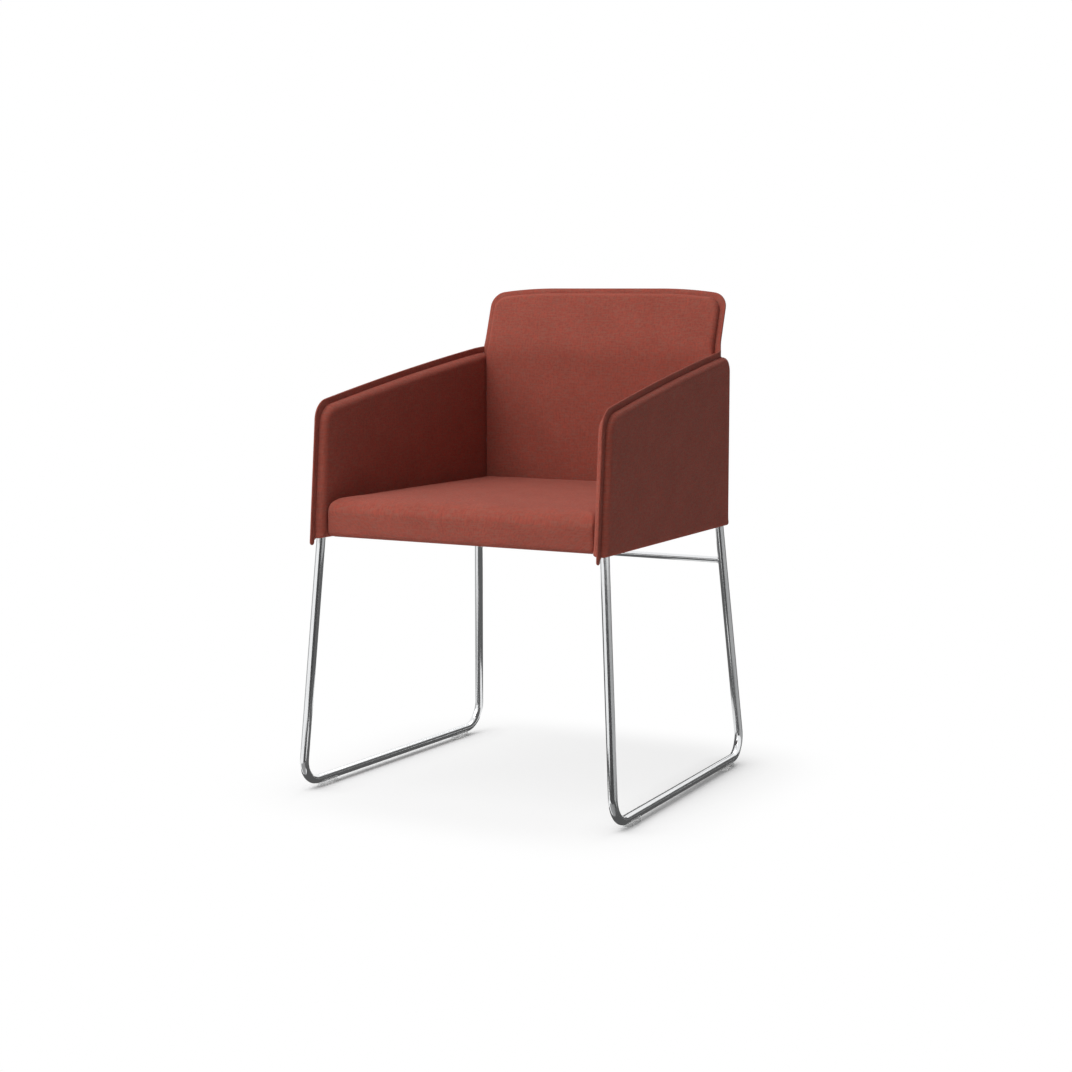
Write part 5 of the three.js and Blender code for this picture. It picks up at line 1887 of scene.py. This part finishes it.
@dataclass
class Seat:
    """The seat cushion, with the dust cover under it."""

    arm: ArmForm
    finish: Material
    cover_finish: Material
    foot: float = 0.405
    thickness: float = 0.059
    crown: float = 0.004
    front_inset: float = 0.0043
    side_room: float = 0.0004
    inner_pad: float = 0.0125
    back_face: float = 0.0108
    corner_radius: float = 0.006
    rear_corner_radius: float = 0.005
    front_turn: float = 0.024
    side_turn: float = 0.012
    round_drop: float = 0.020
    hem_radius: float = 0.008
    step: float = 0.0065
    # How much painted highlight the shoulder round the cushion's top gets.
    painted_highlight_share: float = 0.6
    pressure: float = 4.0
    held_below: float = 0.012
    swell_frames: int = 20
    swell_cap: float = 0.0025
    side_swell: float = 0.1
    hollow_room: float = 0.0137
    hollow_drop: float = 0.004
    board_front_room: float = 0.021
    board_rear_room: float = 0.0135
    cover_room: float = 0.014
    cover_thickness: float = 0.0006
    cover_sag: float = 0.0009
    cover_ripple: float = 0.15
    wave_length: float = 0.1
    cover_points: int = 61
    side_rings: int = 6
    hem_rings: int = 5

    @property
    def front(self) -> float:
        """The front side's distance from the middle."""
        return self.arm.corner_reach - self.front_inset

    @property
    def rear(self) -> float:
        """The rear side's distance from the middle."""
        return self.arm.back_reach - self.back_face

    def half_at(self, along: Array, room: float) -> Array:
        """Half the seat's width at a place along it, less a room."""
        offset = -self.arm.pad_face - self.inner_pad - self.side_room - room
        return self.arm.spread + offset / math.cos(self.arm.toe) - along * math.tan(self.arm.toe)

    def outline(self) -> PadOutline:
        """The cushion's outline in plan.

        Returns:
            The outline.
        """
        return PadOutline(
            left=lambda v: -self.half_at(v, 0),
            right=lambda v: self.half_at(v, 0),
            low=lambda u: -self.front + 0 * u,
            high=lambda u: self.rear + 0 * u,
            radii=(self.corner_radius,) * 2 + (self.rear_corner_radius,) * 2,
            turns=lambda v: (self.side_turn, self.side_turn, self.front_turn, self.side_turn),
        )

    def hem_levels(self) -> list[tuple[float, float]]:
        """The rings round the cushion's side and hem, from the top down.

        Returns:
            How far in and how high each ring stands.
        """
        side = self.thickness - self.round_drop
        rings = range(1, self.side_rings + 1)
        levels = [(0.0, side + (self.hem_radius - side) * i / self.side_rings) for i in rings]
        for angle in [math.pi / 2 * i / self.hem_rings for i in range(1, self.hem_rings + 1)]:
            levels.append((self.hem_radius * (1 - math.cos(angle)), self.hem_radius * (1 - math.sin(angle))))
        return levels

    def cushion_skin(self) -> Skin:
        """The cushion before it swells: a rounded top, its sides and a turned hem.

        Returns:
            The cushion's skin.
        """
        outline = self.outline()
        depth = self.front + self.rear
        width = 2 * float(self.half_at(np.array(0.0), 0))
        rows = graded(depth, self.front_turn, self.side_turn, self.step)
        u, v = outline.grid(rows, graded(width, self.side_turn, self.side_turn, self.step))
        drop = self.round_drop * (1 - outline.fullness(u, v))
        rise = self.thickness - drop + self.crown * outline.crown(u, v)
        rim = grid_rim(*u.shape)
        flat = np.stack([u, v], axis=-1).reshape(-1, 2)
        middle = np.array([0.0, (self.rear - self.front) / 2])
        halves = np.array([width, depth]) / 2
        points, cloth = [np.stack([u, v, self.foot + rise], axis=-1).reshape(-1, 3)], [flat]
        faces = grid_faces(*u.shape)
        base, previous = u.size, rim
        for inset, height in self.hem_levels():
            ring = middle + (flat[rim] - middle) * (1 - inset / halves)
            points.append(np.column_stack([ring, np.full(len(ring), self.foot + height)]))
            run = self.thickness - self.round_drop - height + inset
            cloth.append(middle + (flat[rim] - middle) * (1 + run / halves))
            current = list(range(base, base + len(ring)))
            faces += band(previous, current)
            base, previous = base + len(ring), current
        below = middle + (flat - middle) * (1 - self.hem_radius / halves)
        points.append(np.column_stack([below, np.full(len(below), self.foot)]))
        cloth.append(flat)
        under = np.arange(base, base + u.size)
        under[rim] = previous
        faces += [tuple(int(under[i]) for i in reversed(face)) for face in grid_faces(*u.shape)]
        places = np.concatenate(points)
        places[:, 1] += self.arm.shift
        # A painted highlight on the shoulder round the top; the sides and the underside get none.
        painted_highlight = np.zeros(len(places))
        painted_highlight[: u.size] = outline.painted_highlight(u, v, self.front_turn).ravel() * self.painted_highlight_share
        return Skin(places, faces, np.concatenate(cloth), {"painted_highlight": painted_highlight})

    def swell(self, piece: Piece) -> None:
        """Lets the foam press the cover out, held at its hem, and applies the result.

        Args:
            piece: the cushion.
        """
        mesh = piece.data
        rest = np.empty(len(mesh.vertices) * 3)
        mesh.vertices.foreach_get("co", rest)
        rest = rest.reshape(-1, 3)
        held = piece.vertex_groups.new(name="held")
        low = [int(i) for i in np.nonzero(rest[:, 2] < self.foot + self.held_below)[0]]
        held.add(low, 1.0, "REPLACE")
        modifier = piece.modifiers.new("foam", "CLOTH")
        cloth = modifier.settings
        cloth.quality = 4
        cloth.mass = 0.4
        cloth.tension_stiffness = 25
        cloth.compression_stiffness = 25
        cloth.bending_stiffness = 3
        cloth.use_pressure = True
        cloth.uniform_pressure_force = self.pressure
        cloth.effector_weights.gravity = 0
        cloth.vertex_group_mass = held.name
        modifier.point_cache.frame_start = 1
        modifier.point_cache.frame_end = self.swell_frames
        scene = bpy.context.scene
        for number in range(1, self.swell_frames + 1):
            scene.frame_set(number)
        graph = bpy.context.evaluated_depsgraph_get()
        swollen = np.empty(rest.size)
        piece.evaluated_get(graph).data.vertices.foreach_get("co", swollen)
        move = swollen.reshape(-1, 3) - rest
        reach = np.linalg.norm(move, axis=1)[:, None]
        move *= np.minimum(1, self.swell_cap / np.maximum(reach, WELD))
        move[:, 0] *= self.side_swell
        move[:, 1] = np.clip(move[:, 1], -self.swell_cap, 0)
        piece.modifiers.clear()
        scene.frame_set(1)
        mesh.vertices.foreach_set("co", (rest + move).ravel())
        mesh.update()
        LOG.info("%s swelled by up to %.1f mm", piece.name, 1000 * float(np.linalg.norm(move, axis=1).max()))

    def prism(self, low: float, high: float) -> Piece:
        """A cutter over the board's plan, grown towards the cushion's sides.

        Args:
            low: its foot's height.
            high: its top's height.

        Returns:
            The cutter.
        """
        front = self.front - self.board_front_room + FIT_GAP
        rear = self.rear - self.board_rear_room + FIT_GAP
        spots = [(-1, -front), (1, -front), (1, rear), (-1, rear)]
        half = {y: float(self.half_at(np.array(y), self.hollow_room)) for _, y in spots}
        corners = [(sign * half[y], y + self.arm.shift) for sign, y in spots]
        loops = [[Vector((x, y, z)) for x, y in corners] for z in (low, high)]
        return loop_skin(loops, [[(0.0, 0.0)] * 4] * 2).piece("space", self.finish)

    def build(self) -> None:
        """Makes the cushion and the dust cover."""
        piece = self.cushion_skin().piece("cloth_seat_cushion", self.finish)
        self.swell(piece)
        modifier = piece.modifiers.new("smooth", "SUBSURF")
        modifier.levels = 1
        modifier.render_levels = 1
        applied(piece)
        nuts = [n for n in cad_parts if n.startswith("seat_tee_nut")]
        cutters = [
            self.prism(self.foot - self.hollow_drop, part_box("seat_board")[1].z + FIT_GAP),
            space_of("seat_rail_front", "seat_rail_rear"),
            space_of(*nuts),
        ]
        carve(piece, cutters)
        discard(cutters)
        settle(piece, ["seat_cushion"])
        self.dust_cover()

    def dust_cover(self) -> None:
        """Makes the black cloth under the seat, which sags a little in its middle."""
        low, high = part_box("dust_cover")
        count = self.cover_points
        share_u, share_v = np.meshgrid(np.linspace(-1, 1, count), np.linspace(0, 1, count))
        y = low.y + (high.y - low.y) * share_v
        half = self.half_at(y - self.arm.shift, self.cover_room)
        x = half * share_u
        sag = (1 - share_u**2) * 4 * share_v * (1 - share_v)
        waves = np.sin(9 * x / self.wave_length) * np.sin(7 * y / self.wave_length)
        z = low.z + self.cover_sag - self.cover_sag * np.clip(sag * (1 + self.cover_ripple * waves), 0, 1)
        points = [np.stack([x, y, level], axis=-1).reshape(-1, 3) for level in (z + self.cover_thickness, z)]
        faces = grid_faces(count, count)
        faces += [tuple(reversed(face)) for face in grid_faces(count, count, x.size)]
        rim = grid_rim(count, count)
        faces += band(rim, [i + x.size for i in rim])
        lengths = np.stack([x, y], axis=-1).reshape(-1, 2)
        skin = Skin(np.concatenate(points), faces, np.concatenate([lengths, lengths]))
        piece = skin.piece("black_dust_cover", self.cover_finish)
        settle(piece, ["dust_cover"])


@dataclass
class Hardware:
    """The steel, zinc and plywood pieces whose CAD shapes stay."""

    finishes: dict[str, Material]

    def build(self) -> None:
        """Gives each node its finish by its name's start."""
        for name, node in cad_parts.items():
            for start, finish in self.finishes.items():
                if name.startswith(start):
                    node.data.materials.clear()
                    node.data.materials.append(finish)
                    LOG.info("%s: %s", name, finish.name)


@dataclass(frozen=True)
class Lamp:
    """A soft square lamp aimed at the chair.

    Args:
        name: its name.
        turn: its direction, in degrees from the chair's front towards +X.
        climb: its height above the horizon, in degrees.
        power: its power in watts.
        reach: its distance.
        size: its side.
    """

    name: str
    turn: float
    climb: float
    power: float
    reach: float = 3.4
    size: float = 2.0


@dataclass(frozen=True)
class Flag:
    """A grey card that only mirrors see: a sector of the floor with a low wall behind it.

    Args:
        name: its name.
        start: where it starts, in degrees from the chair's front towards +X.
        end: where it ends.
        grey: its brightness.
        near: its inner radius.
        far: its outer radius.
        wall: its wall's height.
        middle: where its radii start, across and along.
    """

    name: str
    start: float
    end: float
    grey: float
    near: float = 0.45
    far: float = 2.4
    wall: float = 0.5
    middle: tuple[float, float] = (0.0, 0.0)


@dataclass
class Studio:
    """The white floor, the soft lamps, the grey cards and the camera."""

    camera_place: Point = (1.54448, -2.87441, 0.78821)
    azimuth: float = math.radians(28.1933)
    elevation: float = math.radians(6.9064)
    focal_length: float = 69.01
    sensor_width: float = 36.0
    floor_reach: float = 9.0
    shade_reach: tuple[float, float] = (0.24, 0.46)
    contact_reach: float = 0.06
    contact_light: tuple[float, float] = (0.1, 0.8)
    middle: float = 0.4
    surround: float = 0.12
    lamps: tuple[Lamp, ...] = (
        Lamp("key_high", -20, 60, 56.0, reach=3.2),
        Lamp("key_low", -20, 35, 15.0),
        Lamp("key_side", -50, 35, 31.0),
        Lamp("rim", 180, 50, 26.0),
    )
    flags: tuple[Flag, ...] = (
        Flag("front_flag", 3, 60, 0.07),
        Flag("right_flag", 61, 137, 0.4, wall=0.4),
        Flag("rear_flag", 138, 214, 0.1, wall=0.02),
        Flag("rear_wall", 138, 178, 0.1, near=2.38, wall=0.75),
        Flag("left_flag", -122, -68, 0.45),
    )
    runner: float = 0.262
    flag_height: float = 0.0006
    flag_steps: int = 24
    toe: tuple[float, float] = (0.272, -0.262)
    heel: tuple[float, float] = (0.252, 0.262)
    foot_flag_end: float = 61
    foot_flag_wall: float = 0.001
    runner_flag_height: float = 0.0009
    runner_flag_half: float = 0.085
    runner_flag_ends: tuple[float, float] = (-0.268, 0.33)
    runner_flag_grey: float = 0.1
    under_card_spread: tuple[float, float] = (0.235, 0.565)
    under_card_heights: tuple[float, float] = (0.03, 0.32)
    under_card_grey: float = 0.12
    white_card_half: float = 0.21
    white_card_ends: tuple[float, float] = (0.12, 0.3)
    white_card_height: float = 0.401

    def build(self) -> None:
        """Makes the floor, the lamps, the cards, the world and the camera."""
        self.floor()
        for lamp in self.lamps:
            self.lamp(lamp)
        cards = [self.flag(flag) for flag in (*self.flags, *self.foot_flags())]
        for side in Side:
            level = oblong(self.runner * side.value, self.runner_flag_half, *self.runner_flag_ends)
            points = [(x, y, self.runner_flag_height) for x, y in level]
            cards.append(self.card("runner_flag_" + side.label, points, ONE_FACE, self.runner_flag_grey))
        points = [(0, y, z) for y, z in oblong(*self.under_card_spread, *self.under_card_heights)]
        cards.append(self.card("under_card", points, ONE_FACE, self.under_card_grey))
        level = oblong(0, self.white_card_half, *self.white_card_ends)
        points = [(x, y, self.white_card_height) for x, y in level]
        cards.append(self.card("white_card", points, ONE_FACE, 1.0))
        self.world()
        self.camera()

    def foot_flags(self) -> list[Flag]:
        """The low cards round the runners' ends: one on each side under each pair of bends.

        Returns:
            The cards.
        """
        end, wall = self.foot_flag_end, self.foot_flag_wall
        pairs = (
            ("toe_flag", 1, self.toe, -60, 0.32, 0.006, 0.12),
            ("foot_flag", 1, self.toe, 3, 0.08, 0.12, 0.5),
            ("foot_flag", 3, self.heel, 3, 0.12, 0.02, 0.6),
        )
        made = []
        for name, number, (x, y), start, brightness, near, far in pairs:
            for extra, middle in enumerate(((-x, y), (x, y))):
                made.append(Flag(f"{name}_{number + extra}", start, end, brightness, near, far, wall, middle))
        return made

    @staticmethod
    def place(turn: float, climb: float, reach: float) -> Vector:
        """A place seen from the chair's middle.

        Args:
            turn: its direction round the chair, in degrees.
            climb: its direction above the level, in degrees.
            reach: how far away it is.

        Returns:
            The place.
        """
        a, e = math.radians(turn), math.radians(climb)
        level = math.cos(e) * reach
        return Vector((math.sin(a) * level, -math.cos(a) * level, math.sin(e) * reach))

    @staticmethod
    def seen(nodes: Nodes) -> Socket:
        """A switch by the kind of ray.

        Args:
            nodes: the material's nodes.

        Returns:
            One for rays from the camera, from mirrors and through glass, and nought for light.
        """
        path = nodes.add("ShaderNodeLightPath").outputs
        rays = nodes.math("MAXIMUM", path["Is Camera Ray"], path["Is Glossy Ray"])
        return nodes.math("MAXIMUM", rays, path["Is Transmission Ray"])

    def floor(self) -> None:
        """A white floor that keeps the chair's shadow and runs into the white backdrop."""
        reach = self.floor_reach
        mesh = bpy.data.meshes.new("floor")
        mesh.from_pydata([(x, y, 0) for x, y in oblong(0, reach, -reach, reach)], [], ONE_FACE)
        material, nodes, shader = fresh_material("white floor")
        nodes.feed(shader, {"Base Color": neutral(0.9), "Roughness": 0.9, "Specular IOR Level": 0.0})
        split = nodes.add("ShaderNodeSeparateXYZ", {0: nodes.object_place()})
        away = [nodes.math("ABSOLUTE", split.outputs[axis]) for axis in ("X", "Y")]
        powers = [nodes.math("POWER", length, 4.0) for length in away]
        radius = nodes.math("POWER", nodes.math("ADD", *powers), 0.25)
        fade = nodes.ranged(radius, *self.shade_reach, 0.0, 1.0)
        fade.node.interpolation_type = "SMOOTHERSTEP"
        nearby = nodes.add("ShaderNodeAmbientOcclusion", {"Distance": self.contact_reach})
        open_share = nodes.ranged(nearby.outputs["AO"], 0.5, 1.0, *self.contact_light)
        closed = nodes.math("SUBTRACT", 1.0, open_share)
        share = nodes.math("MULTIPLY", self.seen(nodes), nodes.math("MULTIPLY_ADD", closed, fade, open_share))
        light = nodes.add("ShaderNodeEmission")
        mix = nodes.add("ShaderNodeMixShader", {0: share, 1: shader.outputs[0], 2: light.outputs[0]})
        nodes.feed(nodes.tree.nodes["Material Output"], {"Surface": mix.outputs[0]})
        mesh.materials.append(material)
        linked("floor", mesh)

    def lamp(self, lamp: Lamp) -> None:
        """Makes one lamp.

        Args:
            lamp: its place and power.
        """
        light = bpy.data.lights.new(lamp.name, "AREA")
        light.size = lamp.size
        light.energy = lamp.power
        head = linked(lamp.name, light)
        away = self.place(lamp.turn, lamp.climb, lamp.reach)
        head.location = away + Vector((0, 0, self.middle))
        head.rotation_euler = (-away).to_track_quat("-Z", "Y").to_euler()

    def card(self, name: str, points: Sequence[Point], faces: Faces, brightness: float) -> Piece:
        """A card that only mirrors see.

        Args:
            name: its name.
            points: its points.
            faces: its faces.
            brightness: its grey.

        Returns:
            The card.
        """
        mesh = bpy.data.meshes.new(name)
        mesh.from_pydata(points, [], faces)
        material, nodes, shader = fresh_material(name)
        inputs = {
            "Base Color": neutral(0.0),
            "Roughness": 1.0,
            "Specular IOR Level": 0.0,
            "Emission Color": neutral(brightness),
            "Emission Strength": 1.0,
        }
        nodes.feed(shader, inputs)
        mesh.materials.append(material)
        card = linked(name, mesh)
        for kind in ("camera", "diffuse", "transmission", "volume_scatter", "shadow"):
            setattr(card, "visible_" + kind, False)
        return card

    def flag(self, flag: Flag) -> Piece:
        """Makes one card round the chair or round a runner's end.

        Args:
            flag: its place and grey.

        Returns:
            The card.
        """
        count = self.flag_steps
        low = Vector((*flag.middle, self.flag_height))
        high = Vector((*flag.middle, flag.wall))
        points = []
        for i in range(count + 1):
            heading = self.place(flag.start + (flag.end - flag.start) * i / count, 0, 1)
            spots = (heading * flag.near + low, heading * flag.far + low, heading * flag.far + high)
            points += [tuple(spot) for spot in spots]
        faces = [(a, a + 1, a + 4, a + 3) for a in range(3 * count) if a % 3 < 2]
        return self.card(flag.name, points, faces, flag.grey)

    def world(self) -> None:
        """An even pale surround, white where the camera or a mirror sees it."""
        world = bpy.data.worlds.new("surround")
        world.use_nodes = True
        nodes = Nodes(world.node_tree)
        strength = nodes.ranged(self.seen(nodes), 0.0, 1.0, self.surround, 1.0)
        nodes.feed(nodes.tree.nodes["Background"], {"Color": neutral(1.0), "Strength": strength})
        bpy.context.scene.world = world

    def camera(self) -> None:
        """The camera at the photograph's place."""
        data = bpy.data.cameras.new("camera")
        data.sensor_width = self.sensor_width
        data.lens = self.focal_length
        camera = linked("camera", data)
        camera.location = self.camera_place
        level, turn = math.cos(self.elevation), self.azimuth
        ahead = Vector((-math.sin(turn) * level, math.cos(turn) * level, -math.sin(self.elevation)))
        camera.rotation_euler = ahead.to_track_quat("-Z", "Y").to_euler()
        bpy.context.scene.camera = camera


def oblong(middle: float, half: float, low: float, high: float) -> list[tuple[float, float]]:
    """The four corners of an oblong, by its middle and half width, and its two ends."""
    return [(middle - half, low), (middle + half, low), (middle + half, high), (middle - half, high)]


def main() -> None:
    """Builds the chair's looks and the studio."""
    logging.basicConfig(level=logging.INFO, format="%(message)s")
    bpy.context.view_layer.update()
    bpy.context.scene.view_settings.view_transform = "Standard"
    Studio().build()
    effects = Effects()
    wool = MelangeWool().material(effects)
    chrome_form = HandledMetal("bright chrome", 0.00002, 0.4, (0.86, 0.87, 0.88, 1.0), 0.1, 0.19)
    zinc_form = HandledMetal("dull zinc plate", 0.00002, 0.4, (0.2, 0.205, 0.21, 1.0), 0.4, 0.6, scale=40.0)
    primed_form = HandledMetal(
        name="primed steel",
        depth=0.0001,
        colour=(0.055, 0.058, 0.062, 1.0),
        smooth=0.45,
        rough=0.7,
        smeared=(0.09, 0.09, 0.092, 1.0),
        metallic=0.3,
        scale=30.0,
        ripple=900.0,
        detail=3.0,
    )
    chrome, zinc, primed = [form.material(effects) for form in (chrome_form, zinc_form, primed_form)]
    stitches = SeamStitches(SewingThread().material(effects))
    arm = ArmForm()
    frames = SideFrames(arm, chrome)
    frames.build()
    Glides(frames, ClearPlastic().material(effects)).build()
    sheet_and_bar = dict.fromkeys(("arm_plate", "back_plate", "seat_rail"), primed)
    fixings = dict.fromkeys(("back_angle", "rail_bolt", "angle_bolt", "seat_screw", "seat_tee"), zinc)
    Hardware({**sheet_and_bar, **fixings, "seat_board": BarePly().material(effects)}).build()
    ArmPanels(arm, frames, wool, stitches).build()
    BackPanel(arm, wool, stitches).build()
    Seat(arm, wool, BlackCloth().material(effects)).build()


if __name__ == "__main__":
    main()
